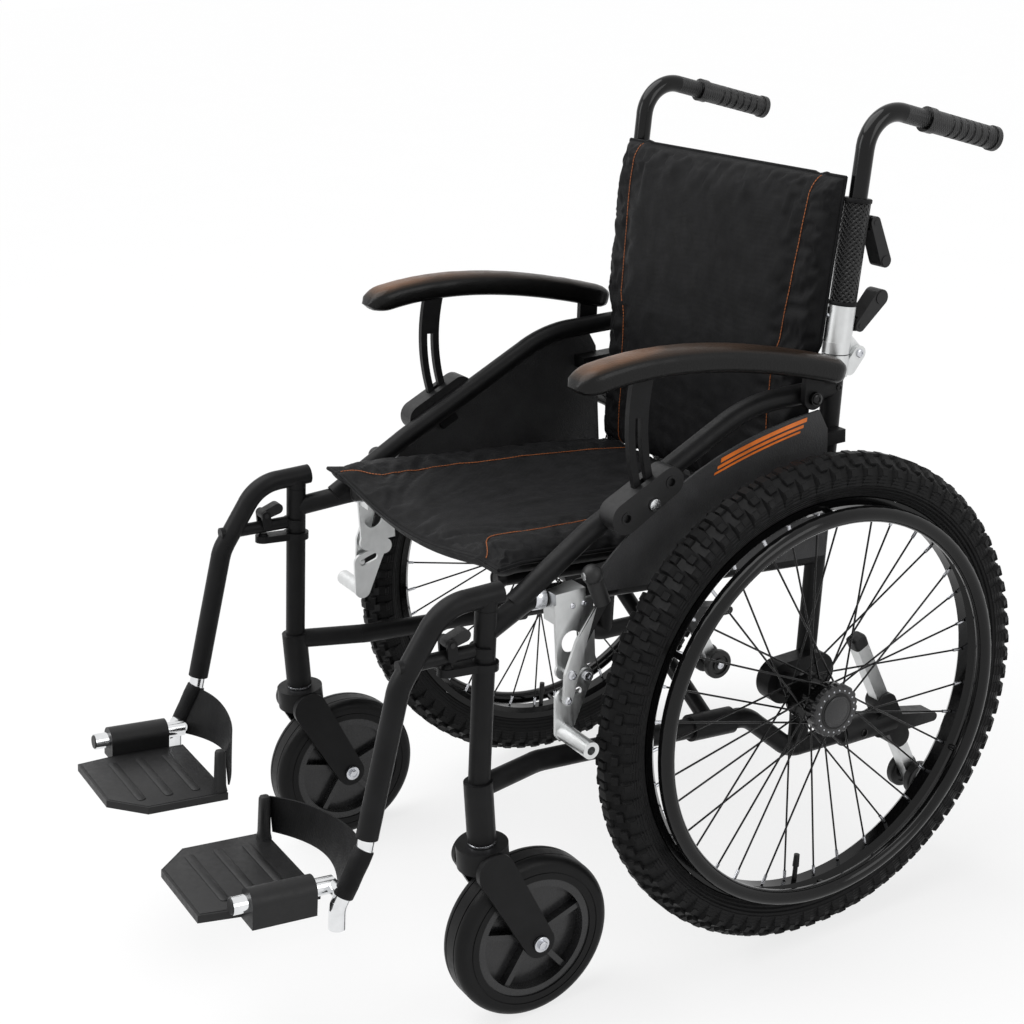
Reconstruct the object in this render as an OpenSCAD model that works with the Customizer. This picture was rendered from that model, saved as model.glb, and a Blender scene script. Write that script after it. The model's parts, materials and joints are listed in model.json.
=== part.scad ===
// Folding wheelchair for rough ground: two tube side frames joined by a scissor brace,
// knobbly spoked rear wheels, wide casters, swing-away leg rests and a half-folding back.
// Left is +X, the chair faces -Y, +Z is up. Side-view points are [y, z] from the rear axle's
// foot on the ground; the whole chair is then centred over the origin.

/* [Overall] */
// Rear axle to the end of the push grips
rear_reach = 337; // [330:1:345]
// Rear axle to the front edge of the footplates
front_reach = 752; // [745:1:765]
// Rear axle to the caster stems
wheelbase = 433; // [428:1:440]
// Centre plane to the main frame tubes
frame_x = 225; // [222:1:240]
// How far the front posts stand outside the main frame tubes
front_flare = 27; // [20:1:32]
// Centre plane to the rear wheels' middle
wheel_x = 305; // [303:1:315]

/* [Frame] */
// Diameter of the frame tubes
tube_d = 25; // [22:0.5:26]
// Backward tilt of the frame, degrees
frame_tilt = 6; // [5:0.5:7]
// Height of the seat tube where its flare ends
seat_h = 498; // [490:1:505]
// Height of the lower rail where its flare ends
rail_h = 296; // [290:1:300]
// How far the lower rail drops behind the scissor brace
rail_drop = 64; // [55:1:70]
// Rise of the arch tube at the rear post over the seat tube
arch_rise = 164; // [157:1:172]
// Rise of the front posts' tops over the seat tube
post_rise = 13; // [10:1:15]
// How far the rear posts stand behind the axle, at its height
post_set = 49; // [44:1:54]
// Bend radius of the frame tubes
bend_r = 42; // [35:1:48]

/* [Rear wheel] */
// Outer radius over the tread knobs
wheel_r = 306.5; // [300:0.5:308]
// Height of the tread knobs
knob_h = 4.6; // [2:0.1:5]
// Radius of the tyre section below the knobs
tyre_r = 25.5; // [24:0.5:26]
// Number of knobs in each tread row
knob_n = 76; // [60:1:80]
// Number of spokes
spoke_n = 36; // [28:4:36]
// Spoke diameter
spoke_d = 2.4; // [2:0.1:3]
// Handrim tube diameter
handrim_d = 19; // [16:1:22]
// Radius of the handrim to the middle of its tube
handrim_r = 241.5; // [236:0.5:243]
// Quick-release axle diameter
axle_d = 12.7; // [10:0.1:14]

/* [Caster] */
// Radius of the caster wheel
caster_r = 100; // [90:1:102]
// Width of the caster tyre
caster_w = 44; // [36:1:46]
// Distance of the caster axle behind its stem
trail = 50; // [40:1:55]
// Height of the top of the fork's crown
fork_h = 233; // [226:1:235]
// Thickness of a fork leg
leg_t = 8; // [6:0.5:10]

/* [Leg rest] */
// Diameter of the hanger tube
hanger_d = 25; // [22:0.5:26]
// Diameter of the chrome foot tube
foot_d = 19; // [16:0.5:20]
// Height of the footplate hinge at its rear
plate_h = 231; // [228:1:236]
// Upward tilt of the footplate, degrees
plate_tilt = 7; // [4:0.5:9]
// Inner edge of the footplate from the centre plane
plate_in = 57; // [50:1:70]
// Footplate thickness
plate_t = 9; // [7:0.5:10]

/* [Seat and back] */
// Diameter of the seat rails
rail_d = 18; // [16:0.5:19]
// Centre plane to the seat rails
rail_x = 183; // [180:1:184]
// Rise of the seat rails over the seat tube
rail_over = 10; // [4:1:14]
// Thickness of the seat pad at its edge
seat_t = 22; // [16:1:26]
// Thickness of the back pad at its edge
back_t = 20; // [14:1:24]
// Rise of the top of the back pad over the half-fold joint
back_rise = 204; // [197:1:209]
// Backward lean of the upper back tubes, degrees
cane_tilt = 9.5; // [8:0.5:10]
// Rise of the half-fold joint of the back over the arch tube
hinge_rise = 41; // [36:1:46]
// Rise of the top of the upper back tubes over the half-fold joint
cane_rise = 179; // [172:1:187]
// Diameter of the push handle tube
handle_d = 22; // [19:0.5:22]
// Length of a push grip
grip_l = 118; // [105:1:125]

/* [Armrest] */
// Length of the arm pad
pad_l = 366; // [350:1:372]
// Width of the arm pad
pad_w = 44; // [38:1:50]
// Thickness of the arm pad
pad_t = 30; // [24:1:32]
// Radius of the slotted arm post about the arm pivot
arm_r = 247; // [242:1:250]

/* [Brake and anti-tip] */
// Diameter of the brake shoe
shoe_d = 20; // [16:1:20]
// Side of the square anti-tip strut
strut_w = 18; // [14:1:20]
// Diameter of an anti-tip wheel
tip_d = 46; // [38:1:48]

/* [Hidden] */
$fn = 48;

// Fits: a running shaft, a soft or loose neighbour, and the overrun of every cut
run = 0.05;
clear = 0.4;
over = 1;
// Bends swell a little, and the straights run a little way into them
swell = 0.15;
lap = 0.5;
arch_h = seat_h + arch_rise;
post_h = seat_h + post_rise;
hinge_h = arch_h + hinge_rise;
cane_h = hinge_h + cane_rise;
back_h = hinge_h + back_rise;
rail_rise = seat_h - rail_h + rail_over;
axle_y = (front_reach - rear_reach) / 2;
front_x = frame_x + front_flare;
tube_r = tube_d / 2;
axle = [0, wheel_r];
black = [0.07, 0.07, 0.075];
rubber = [0.04, 0.04, 0.04];
silver = [0.75, 0.76, 0.77];
cloth = [0.09, 0.09, 0.1];

// Vector helpers
function unit(v) = v / norm(v);
function mix(a, b, t) = a + (b - a) * t;
function bezier(a, b, c, t) = mix(mix(a, b, t), mix(b, c, t), t);
function at_x(x, p) = [x, p[0], p[1]];
function turn(a, b, c) = acos(min(1, unit(b - a) * unit(c - b)));
function lean(a) = [sin(a), cos(a)];

// Round bar between two points
module bar(p, q, r) {
  d = q - p;
  translate(p)
    rotate([0, acos(d[2] / norm(d)), atan2(d[1], d[0])])
      cylinder(h = norm(d), r = r);
}

// Bend between two straight stretches of tube
module elbow(a, b, c, r, bend) {
  d = unit(b - a);
  angle = turn(a, b, c);
  axis = unit(cross(d, unit(c - b)));
  inward = cross(axis, d);
  centre = b - d * bend * tan(angle / 2) + inward * bend;
  multmatrix([
    [-inward[0], d[0], axis[0], centre[0]],
    [-inward[1], d[1], axis[1], centre[1]],
    [-inward[2], d[2], axis[2], centre[2]],
    [0, 0, 0, 1]])
    rotate_extrude(angle = angle)
      translate([bend, 0])
        circle(r + swell);
}

// Bent tube along a list of corner points
module tube(points, r, bend) {
  n = len(points);
  cut = [for (i = [0 : n - 1])
    i == 0 || i == n - 1 ? 0 : bend * tan(turn(points[i - 1], points[i], points[i + 1]) / 2)];
  for (i = [0 : n - 2]) {
    d = unit(points[i + 1] - points[i]);
    bar(points[i] + d * max(0, cut[i] - lap), points[i + 1] - d * max(0, cut[i + 1] - lap), r);
  }
  if (n > 2)
    for (i = [1 : n - 2])
      elbow(points[i - 1], points[i], points[i + 1], r, bend);
}

// Flat outline in side view, given its extent across the chair
module slab(x0, x1) {
  multmatrix([[0, 0, 1, x0], [1, 0, 0, 0], [0, 1, 0, 0], [0, 0, 0, 1]])
    linear_extrude(x1 - x0)
      children();
}

// Two round ends with straight tangent sides
module link(p, rp, q, rq) {
  a = atan2(q[1] - p[1], q[0] - p[0]);
  s = acos((rp - rq) / norm(q - p));
  up = [cos(a + s), sin(a + s)];
  down = [cos(a - s), sin(a - s)];
  translate(p) circle(rp);
  translate(q) circle(rq);
  polygon([p + up * rp, q + up * rq, q + down * rq, p + down * rp]);
}

// Round pin across the chair
module pin(p, x0, x1, r) {
  translate([x0, p[0], p[1]])
    rotate([0, 90, 0])
      cylinder(h = x1 - x0, r = r);
}

// Turned shape about an axis across the chair; the profile is [radius, across]
module turned(p, x) {
  translate([x, p[0], p[1]])
    rotate([0, 90, 0])
      rotate_extrude()
        children();
}

// Places a left-hand piece on its side of the chair
module left() { translate([0, axle_y, 0]) children(); }
module right() { mirror([1, 0, 0]) left() children(); }

// Frame lines in side view
flare_l = wheelbase * 0.21;
flare_y = -wheelbase + flare_l;
function seat_z(y) = seat_h - (y - flare_y) * tan(frame_tilt);
function rail_z(y) = rail_h - (y - flare_y) * tan(frame_tilt);
function post_y(z) = post_set + (z - wheel_r) * tan(frame_tilt);
function front_y(z) = -wheelbase + max(0, z - rail_h) * tan(frame_tilt);
drop_y = -wheelbase * 0.1;
drop_l = rail_drop * 1.05;
low_z = rail_z(drop_y) - rail_drop;
function low_rail(y) = low_z - (y - drop_y - drop_l) * tan(frame_tilt / 2);
rail_end_y = 168;
rail_end = [rail_end_y, low_rail(rail_end_y)];
arch_a = [flare_y - tube_d, seat_h];
arch_b = [-wheelbase * 0.605, mix(seat_h, arch_h, 0.36)];
arch_c = [-wheelbase * 0.09, arch_h];
arch_bend = bend_r * 4;

// Wall of the sleeves, collars and sockets round a frame tube
wall = 4;
sleeve_r = tube_r + wall;

// Scissor brace: hinged on the lower rails, in the tilted plane of the frame
brace_y = -wheelbase * 0.26;
brace_gap = 30;
brace_r = 10;
brace_pin_r = 4;
brace_mid = [0, rail_rise * frame_x / (frame_x + rail_x)];
sleeve_l = 62;
rail_front = 270;
rail_back = 132;
cradle_s = 95;

// Places a child in the tilted frame whose origin is on the lower rails' line
module tilted() {
  translate([0, brace_y, rail_z(brace_y)])
    rotate([-frame_tilt, 0, 0])
      children();
}

// Caster housing
stem_r = 8;
housing_z = fork_h + wall;
housing_l = 74;

// Axle block on the rear post
block_r = 27;
block_t = 11;
receiver_r = 15;
receiver_off = 31;
receiver_end = wheel_x - receiver_off;

// Skirt guard and the lugs that carry it
guard_off = 13.5;
guard_x = frame_x + tube_r + guard_off;
guard_t = 3;
guard_front = [-wheelbase * 0.64, seat_h + tube_r];
guard_mid = [-wheelbase * 0.345, arch_h - tube_d];
guard_rear = [post_y(arch_h) - tube_d * 1.7, arch_h - tube_d * 0.56];
lug_t = 16;
lug_w = 24;

// Leg-rest pivot line: the front post's own axis, measured from its top
hanger_pin_l = 46;
hanger_pin_r = 8;
module hanger_axis(s) {
  translate([front_x, front_y(post_h), post_h])
    rotate([-frame_tilt, 0, 0])
      translate([0, 0, s])
        children();
}

// Back hinge: split collar with the pivot behind the tube
collar_l = 26;
collar_gap = 0.6;
hinge_set = 28;
hinge_eye_r = 9;
hinge_pin_r = 4;
eye_t = 10;
cheek_t = 6;
hinge = [post_y(hinge_h) + hinge_set, hinge_h - hinge_set * tan(frame_tilt)];
module on_post() {
  translate([frame_x, post_y(hinge_h), hinge_h])
    rotate([-frame_tilt, 0, 0])
      children();
}

module side_frame() {
  post_foot = low_rail(post_set);
  color(black)
    difference() {
      union() {
        // Front post with its caster housing
        bar([front_x, front_y(post_h), post_h], [front_x, -wheelbase, rail_h], tube_r);
        translate([front_x, -wheelbase, housing_z]) cylinder(h = housing_l, r = sleeve_r);
        // Seat tube, flared out to the front post
        tube([
          [front_x, front_y(seat_h), seat_h - tube_r],
          [frame_x, flare_y, seat_h],
          [frame_x, post_y(seat_z(post_set)), seat_z(post_y(seat_h))]], tube_r, bend_r);
        // Lower rail with its drop
        tube([
          [front_x, -wheelbase, rail_h + tube_r / 2],
          [frame_x, flare_y, rail_h],
          [frame_x, drop_y, rail_z(drop_y)],
          [frame_x, drop_y + drop_l, low_z],
          at_x(frame_x, rail_end)], tube_r, bend_r);
        // Rear post
        bar([frame_x, post_y(post_foot), post_foot],
          [frame_x, post_y(hinge_h), hinge_h - collar_gap], tube_r);
        // Arch that carries the armrest
        tube([
          [frame_x + front_flare / 4, arch_a[0], arch_a[1]],
          at_x(frame_x, arch_b), at_x(frame_x, arch_c),
          [frame_x, post_y(arch_h), arch_h]], tube_r, arch_bend);
        // Axle block and receiver
        slab(frame_x, frame_x + tube_r + block_t)
          link(axle, block_r, [post_y(wheel_r), wheel_r], block_r);
        pin(axle, frame_x, receiver_end, receiver_r);
        // Cradles under the seat rails
        for (s = [-1, 1])
          tilted()
            translate([rail_x - rail_d / 2, s * cradle_s - lug_t / 2, rail_rise - rail_d])
              cube([frame_x - rail_x, lug_t, rail_d - clear]);
        // Lugs behind the skirt guard
        for (y = [guard_front[0] + lug_w, -post_set])
          translate([frame_x, y - lug_w / 2, seat_z(y)])
            cube([guard_x - frame_x, lug_w, lug_t + tube_r]);
        translate([frame_x, guard_rear[0] - lug_w, guard_rear[1] - lug_w * 2])
          cube([guard_x - frame_x, post_y(arch_h) - guard_rear[0] + lug_w, lug_t]);
      }
      // Bores for the caster stem, the axle, the arm bolt, the leg-rest pin and the seat rails' seats
      translate([front_x, -wheelbase, housing_z - over]) cylinder(h = housing_l, r = stem_r + run);
      pin(axle, frame_x - tube_r - over, receiver_end + over, axle_d / 2 + run);
      pin(arm_pivot, frame_x, post_x0, arm_pin_r + run);
      hanger_axis(-hanger_pin_l) cylinder(h = hanger_pin_l + over, r = hanger_pin_r + run);
      tilted()
        translate([rail_x, 0, rail_rise])
          rotate([90, 0, 0])
            cylinder(h = rail_front * 2, r = rail_d / 2 + clear, center = true);
    }
}

// Arm pivot, and the slotted post that rides past the button
arm_set = 47;
arm_pivot = [post_y(arch_h) - arm_set, arch_h];
arm_pin_r = 5;
arm_drop = 21;
post_x0 = frame_x + tube_r + wall;
post_t = 8;
post_w = 26;
post_turn = 36;
slot_w = 8.5;
slot_turn = 2.5;
strap_w = 28;
strap_top = [3, 34];
button_angle = 198.2;
button_at = arm_pivot + arm_r * [cos(button_angle), sin(button_angle)];
button_r = 3;
button_head_r = 7;
button_t = 4;
button_travel = 3;

// Brake points, set from the tyre
shoe_r = shoe_d / 2;
shoe_gap = 11.5;
shoe_drop = 37;
shoe_out = wheel_r + shoe_r + shoe_gap;
shoe = [-sqrt(shoe_out * shoe_out - shoe_drop * shoe_drop), wheel_r + shoe_drop];
shoe_reach = 14;
brake_pin_off = [33, 60];
brake_pin = shoe + brake_pin_off;
lever_pin_off = [9, 70];
lever_pin = shoe + lever_pin_off;
tail_off = [-6, -30];
tail_pin = lever_pin + tail_off;
tail_end_off = [18, 5];
tail_end = tail_pin + tail_end_off;
brake_pin_r = 3;
brake_eye_r = 9;
brake_off = 12;
brake_x = frame_x + tube_r + brake_off;
brake_t = 4;
brake_step = 8;
clamp_off = 26;
brake_clamp = [shoe[0] + clamp_off, seat_z(shoe[0] + clamp_off)];
plate_w = 50;
plate_r = 11;

module brake_bracket() {
  difference() {
    union() {
      slab(frame_x, brake_x + brake_t)
        translate(brake_clamp + [-lug_w, -tube_d]) square([lug_w * 1.6, tube_d * 1.5]);
      slab(brake_x, brake_x + brake_t) {
        translate([lever_pin[0] - brake_eye_r, lever_pin[1]])
          square([plate_w, brake_clamp[1] - lever_pin[1]]);
        link(lever_pin, plate_r, brake_pin, plate_r);
      }
    }
    bar([frame_x, brake_clamp[0] - lug_w * 2, seat_z(brake_clamp[0] - lug_w * 2)],
      [frame_x, brake_clamp[0] + lug_w * 2, seat_z(brake_clamp[0] + lug_w * 2)], tube_r + run);
    pin(brake_clamp + [-lug_w / 4, -lug_w * 2], brake_x - over, brake_x + brake_t + over, lug_w * 0.55);
  }
  pin(lever_pin, brake_x, brake_x + brake_step * 2 + brake_t + over, brake_pin_r);
  pin(brake_pin, brake_x, brake_x + brake_step + brake_t + over, brake_pin_r);
}

// Lower half of the back hinge: collar, two cheeks and the pivot
module hinge_base() {
  difference() {
    union() {
      on_post() translate([0, 0, -collar_l - collar_gap]) cylinder(h = collar_l, r = sleeve_r);
      for (s = [-1, 1])
        translate([s * (eye_t / 2 + cheek_t / 2 + clear / 2), 0, 0])
          slab(frame_x - cheek_t / 2, frame_x + cheek_t / 2)
            link(hinge, hinge_eye_r, hinge - [hinge_set * 0.5, collar_l * 0.6], hinge_eye_r);
    }
    on_post() translate([0, 0, -collar_l * 2]) cylinder(h = collar_l * 3, r = tube_r + run);
    on_post()
      translate([-sleeve_r, -hinge_set, -collar_gap])
        cube([sleeve_r * 2, hinge_set * 1.55, collar_l]);
  }
  pin(hinge, frame_x - eye_t / 2 - cheek_t - over, frame_x + eye_t / 2 + cheek_t + over, hinge_pin_r);
}

// Catch for the leg rest: a collar round the front post with a forward lug and a cone
catch_drop = 68;
catch_z = post_h - catch_drop;
catch_t = 9;
catch_l = 46;
module catch_bracket() {
  nose_r = tube_r * 0.8;
  difference() {
    union() {
      hanger_axis(-catch_drop) cylinder(h = catch_t, r = sleeve_r);
      hanger_axis(-catch_drop) translate([-nose_r, -catch_l, 0]) cube([nose_r * 2, catch_l, catch_t]);
      hanger_axis(-catch_drop) translate([0, -catch_l, 0]) cylinder(h = catch_t, r = nose_r);
      hanger_axis(catch_t - catch_drop)
        translate([0, -catch_l, 0])
          cylinder(h = catch_t * 0.35, r1 = nose_r * 0.75, r2 = nose_r * 0.5);
    }
    hanger_axis(-catch_drop - over) cylinder(h = catch_t * 2, r = tube_r + run);
  }
}

module frame_fittings() {
  bolt_x = post_x0 + post_t + clear;
  color(silver) {
    // Quick-release axle
    pin(axle, frame_x - tube_r, cap_x - cap_t - clear, axle_d / 2);
    hinge_base();
    // Arm pivot bolt
    pin(arm_pivot, frame_x + over, bolt_x, arm_pin_r);
    pin(arm_pivot, bolt_x, bolt_x + arm_pin_r, arm_pin_r * 1.6);
    brake_bracket();
    catch_bracket();
  }
}

// Moulded bracket on the arch that guides the arm post
bracket_a_off = [-36, -9];
bracket_b_off = [24, 21];
bracket_a = button_at + bracket_a_off;
bracket_b = button_at + bracket_b_off;
bracket_a_r = 19;
bracket_b_r = 17;
bracket_lip = 9;
bracket_out = post_x0 + post_t + bracket_lip;
ring_turn = 60;
module arm_bracket() {
  bracket_in = frame_x + tube_r * 0.4;
  color(black)
    difference() {
      union() {
        slab(bracket_in, bracket_out) link(bracket_a, bracket_a_r, bracket_b, bracket_b_r);
        // Raised ring round each screw
        for (p = [bracket_a, bracket_b])
          pin(p, bracket_out - over, bracket_out + over, button_head_r);
      }
      bar(at_x(frame_x, mix(arch_b, arch_c, -0.1)), at_x(frame_x, mix(arch_b, arch_c, 0.9)), tube_r + run);
      arm_ring(post_x0 - clear, post_x0 + post_t + clear, post_w / 2 + clear, -ring_turn, ring_turn);
      pin(button_at, bracket_in - over, bracket_out + over, button_r + run);
      pin(button_at, bracket_out - button_t, bracket_out + over, button_head_r + clear);
      for (p = [bracket_a, bracket_b])
        pin(p, bracket_out - button_t, bracket_out + over * 2, button_r * 1.6);
      slab(guard_x - run, guard_x + guard_t + run) guard_outline();
    }
}

// Stretch of a flat ring about the arm pivot; the angles are counted from the button
module arm_ring(x0, x1, half, a0, a1) {
  multmatrix([[0, 0, 1, 0], [1, 0, 0, arm_pivot[0]], [0, 1, 0, arm_pivot[1]], [0, 0, 0, 1]])
    rotate([0, 0, button_angle + a0])
      rotate_extrude(angle = a1 - a0)
        translate([arm_r - half, x0])
          square([half * 2, x1 - x0]);
}

module guard_outline() {
  steps = 10;
  top = [for (i = [0 : steps]) bezier(guard_front, guard_mid, guard_rear, i / steps)];
  foot = [[guard_rear[0] + tube_r, guard_rear[1] - tube_d],
    [guard_rear[0] + tube_r, seat_z(guard_rear[0]) + tube_r / 2],
    [guard_front[0] + tube_r, seat_z(guard_front[0]) + tube_r / 3]];
  polygon(concat(top, foot));
}

module skirt_guard() {
  color(black)
    slab(guard_x, guard_x + guard_t) guard_outline();
}

// Rear moulding on the lower rail: socket, heel pedal and the anti-tip guide
strut_top = [134, 319];
strut_foot = [236, 90];
strut_dir = unit(strut_foot - strut_top);
strut_lean = atan2(strut_dir[0], -strut_dir[1]);
strut_l = norm(strut_foot - strut_top);
block_y = 108;
socket_r = tube_r + wall * 1.25;
pedal_l = 90;
pedal = rail_end + [pedal_l, -tube_r];
guide_r = strut_w * 0.8;
guide_top = mix(strut_top, strut_foot, 0.42);
guide_low = mix(strut_top, strut_foot, 0.66);
module tip_block() {
  color(black)
    difference() {
      union() {
        bar([frame_x, block_y, low_rail(block_y)], at_x(frame_x, rail_end + [tube_d, 0]), socket_r);
        slab(frame_x - socket_r * 0.8, frame_x + socket_r * 0.8) {
          link(rail_end, socket_r * 0.9, pedal, socket_r * 0.35);
          link(guide_top, guide_r, guide_low, guide_r);
        }
      }
      bar([frame_x, block_y - tube_d, low_rail(block_y - tube_d)],
        at_x(frame_x, rail_end + [clear, 0]), tube_r + run);
      strut_frame() translate([0, 0, -over]) strut_bar(strut_l + over * 2, strut_w / 2 + run);
    }
}

// Anti-tip strut in its own frame: z runs down the strut
module strut_frame() {
  translate(at_x(frame_x, strut_top))
    rotate([180 + strut_lean, 0, 0])
      children();
}
module strut_bar(length, half) {
  translate([-half, -half, 0])
    cube([half * 2, half * 2, length]);
}
tip_pin_r = 4;
tip_gap = 1;
tip_w = 12;
tip_at = strut_foot - strut_dir * strut_w / 2;
module antitip_strut() {
  half = strut_w / 2 + tip_w + tip_gap * 3;
  color(silver) {
    strut_frame() strut_bar(strut_l, strut_w / 2);
    pin(tip_at, frame_x - half, frame_x + half, tip_pin_r);
  }
}
module antitip_wheels() {
  core = tip_pin_r + run;
  color(rubber)
    for (s = [-1, 1])
      turned(tip_at, frame_x + s * (strut_w / 2 + tip_gap + tip_w / 2))
        difference() {
          union() {
            translate([core, -tip_w / 2]) square([tip_d / 2 - tip_w / 4 - core, tip_w]);
            translate([core, -tip_w / 4]) square([tip_d / 2 - core, tip_w / 2]);
            for (t = [-1, 1])
              translate([tip_d / 2 - tip_w / 4, t * tip_w / 4]) circle(tip_w / 4);
          }
          for (t = [-1, 1])
            translate([tip_d * 0.22, t * tip_w / 2 - tip_w * 0.2]) square([tip_d * 0.12, tip_w * 0.4]);
        }
}

// Knobbly tyre: a ring whose section points rise where a knob stands. Each knob pitch has four
// rings; the shoulder blocks of the two sides take turns, and the centre block is level with the first.
section_angles = [-148, -102, -74, -57, -38, -14, 14, 38, 57, 74, 102, 148];
left_shares = [0, 0, 0.8, 0.9, 0, 1, 1, 0, 0, 0, 0, 0];
right_shares = [0, 0, 0, 0, 0, 0, 0, 0, 0.9, 0.8, 0, 0];
ring_shares = [0, 0.4, 0.5, 0.9];
crown_angle = 14;
bead_angle = 148;
tyre_c = wheel_r - (tyre_r + knob_h) * cos(crown_angle);
function knob(i, j) = i % 4 < 2 ? left_shares[j] : right_shares[j];
function tyre_point(i, j) = let (
    around = -90 + (floor(i / 4) + ring_shares[i % 4]) * 360 / knob_n,
    s = tyre_r + knob_h * knob(i, j),
    rad = tyre_c + s * cos(section_angles[j]))
  [s * sin(section_angles[j]), rad * cos(around), rad * sin(around)];
module tyre() {
  m = len(section_angles);
  n = knob_n * 4;
  points = [for (i = [0 : n - 1]) for (j = [0 : m - 1]) tyre_point(i, j)];
  faces = [for (i = [0 : n - 1]) for (j = [0 : m - 1]) let (
      a = i * m + j, b = i * m + (j + 1) % m,
      c = ((i + 1) % n) * m + (j + 1) % m, d = ((i + 1) % n) * m + j)
    each [[a, b, c], [a, c, d]]];
  color(rubber)
    translate(at_x(wheel_x, axle))
      polyhedron(points, faces);
}

// Rim with a well and two bead walls
rim_w = 30;
rim_out = tyre_c + tyre_r * cos(bead_angle) - clear / 2;
rim_depth = 15;
rim_wall = 2;
module rim() {
  h = rim_w / 2;
  well = rim_out - rim_depth * 0.35;
  color(black)
    turned(axle, wheel_x)
      polygon([
        [rim_out - rim_depth, -h * 0.55], [rim_out - rim_depth, h * 0.55],
        [rim_out - rim_depth * 0.6, h], [rim_out, h], [rim_out, h - rim_wall],
        [well, h - rim_wall * 2], [well, rim_wall * 2 - h],
        [rim_out, rim_wall - h], [rim_out, -h], [rim_out - rim_depth * 0.6, -h]]);
}

// Hub with flanges, cap, bearings and crossed spokes
flange_r = 29;
flange_t = 4;
flange_gap = 18;
hub_r = 17;
hub_in = receiver_end + clear;
cap_off = 41;
cap_x = wheel_x + cap_off;
cap_r = 31;
cap_t = 10;
bearing_r = 14;
bearing_t = 9;
spoke_cross = 62;
spoke_hole_r = flange_r - flange_t;
function ring(r, a, x) = [x, r * cos(a), r * sin(a)];
module hub_and_spokes() {
  bore = axle_d / 2 + run;
  seat = bearing_r + run;
  inner = hub_in - wheel_x;
  edge = flange_t / 2;
  shelf = cap_off - cap_t;
  color(black) {
    turned(axle, wheel_x)
      polygon([
        [bore, inner + bearing_t], [seat, inner + bearing_t], [seat, inner], [hub_r, inner],
        [hub_r, -flange_gap - edge], [flange_r, -flange_gap - edge], [flange_r, -flange_gap + edge],
        [hub_r, -flange_gap + edge], [hub_r, flange_gap - edge], [flange_r, flange_gap - edge],
        [flange_r, flange_gap + edge], [cap_r, flange_gap + edge + over], [cap_r, cap_off - cap_t / 2],
        [cap_r * 0.72, cap_off], [0, cap_off], [0, shelf], [seat, shelf],
        [seat, shelf - bearing_t], [bore, shelf - bearing_t]]);
    for (x = [hub_in, cap_x - cap_t - bearing_t])
      turned(axle, x)
        translate([bore, run]) square([bearing_r - bore, bearing_t - run * 2]);
    translate(at_x(wheel_x, axle))
      for (i = [0 : spoke_n - 1]) {
        side = i % 2 * 2 - 1;
        sense = floor(i / 2) % 2 * 2 - 1;
        a = i * 360 / spoke_n;
        bar(ring(spoke_hole_r, a - sense * spoke_cross, side * flange_gap + sense * spoke_d * 0.7),
          ring(rim_out - rim_depth / 2, a, side * spoke_d), spoke_d / 2);
      }
  }
}

// Handrim with its stand-offs
stand_n = 6;
stand_r = 4;
handrim_off = 35;
handrim_x = wheel_x + handrim_off;
module handrim() {
  color(black) {
    turned(axle, handrim_x) translate([handrim_r, 0]) circle(handrim_d / 2);
    translate(at_x(0, axle))
      for (i = [0 : stand_n - 1]) {
        a = (i + 0.5) * 360 / stand_n;
        bar(ring(rim_out - rim_depth * 0.6, a, wheel_x + rim_w / 2 - rim_wall),
          ring(handrim_r, a, handrim_x), stand_r);
      }
  }
}

// Caster: fork, tyre and hub
caster = [trail - wheelbase, caster_r];
crown_r = 30;
leg_end_r = 19;
leg_gap = 3;
leg_x = (caster_w + leg_t) / 2 + leg_gap;
bolt_r = 6;
module caster_fork() {
  crown_z = fork_h - crown_r * 0.9;
  tip_x = leg_x + leg_t / 2 + bolt_r / 2;
  color(black) {
    translate([front_x, -wheelbase, crown_z]) cylinder(h = fork_h - crown_z, r = crown_r);
    for (s = [-1, 1])
      slab(front_x + s * leg_x - leg_t / 2, front_x + s * leg_x + leg_t / 2)
        link([-wheelbase, fork_h - leg_end_r * 1.25], leg_end_r * 1.2, caster, leg_end_r);
    translate([front_x, -wheelbase, fork_h - over])
      cylinder(h = housing_z - fork_h + over - clear, r = sleeve_r * 0.8);
    translate([front_x, -wheelbase, fork_h - over]) cylinder(h = housing_l * 0.8, r = stem_r);
    pin(caster, front_x - tip_x, front_x + tip_x, bolt_r);
  }
}

tread_t = 26;
edge_r = 11;
groove = 1.6;
module caster_tyre() {
  h = caster_w / 2;
  color(rubber)
    turned(caster, front_x)
      difference() {
        union() {
          translate([caster_r - tread_t, -h]) square([tread_t - edge_r, caster_w]);
          translate([caster_r - tread_t, edge_r - h]) square([tread_t, caster_w - edge_r * 2]);
          for (s = [-1, 1])
            translate([caster_r - edge_r, s * (h - edge_r)]) circle(edge_r);
        }
        for (s = [-1, 1]) {
          translate([caster_r - groove, s * h * 0.4 - groove / 2]) square([groove + over, groove]);
          translate([caster_r - tread_t * 0.7, s * h - groove / 2]) square([groove, groove]);
        }
      }
}

caster_boss_r = 17;
caster_rim_t = 9;
caster_rib_n = 5;
caster_rib_w = 7;
module caster_hub() {
  seat_r = caster_r - tread_t - run;
  bore = bolt_r + run;
  h = caster_w / 2;
  color(black) {
    turned(caster, front_x) {
      translate([bore, over - h]) square([caster_boss_r - bore, caster_w - over * 2]);
      translate([bore, -h * 0.25]) square([seat_r - bore, h * 0.5]);
      translate([seat_r - caster_rim_t, -h * 0.92]) square([caster_rim_t, h * 1.84]);
    }
    translate(at_x(front_x, caster))
      for (i = [0 : caster_rib_n - 1])
        rotate([i * 360 / caster_rib_n, 0, 0])
          translate([-h * 0.75, -caster_rib_w / 2, caster_boss_r - over])
            cube([h * 1.5, caster_rib_w, seat_r - caster_rim_t - caster_boss_r + over * 2]);
  }
}

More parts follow.
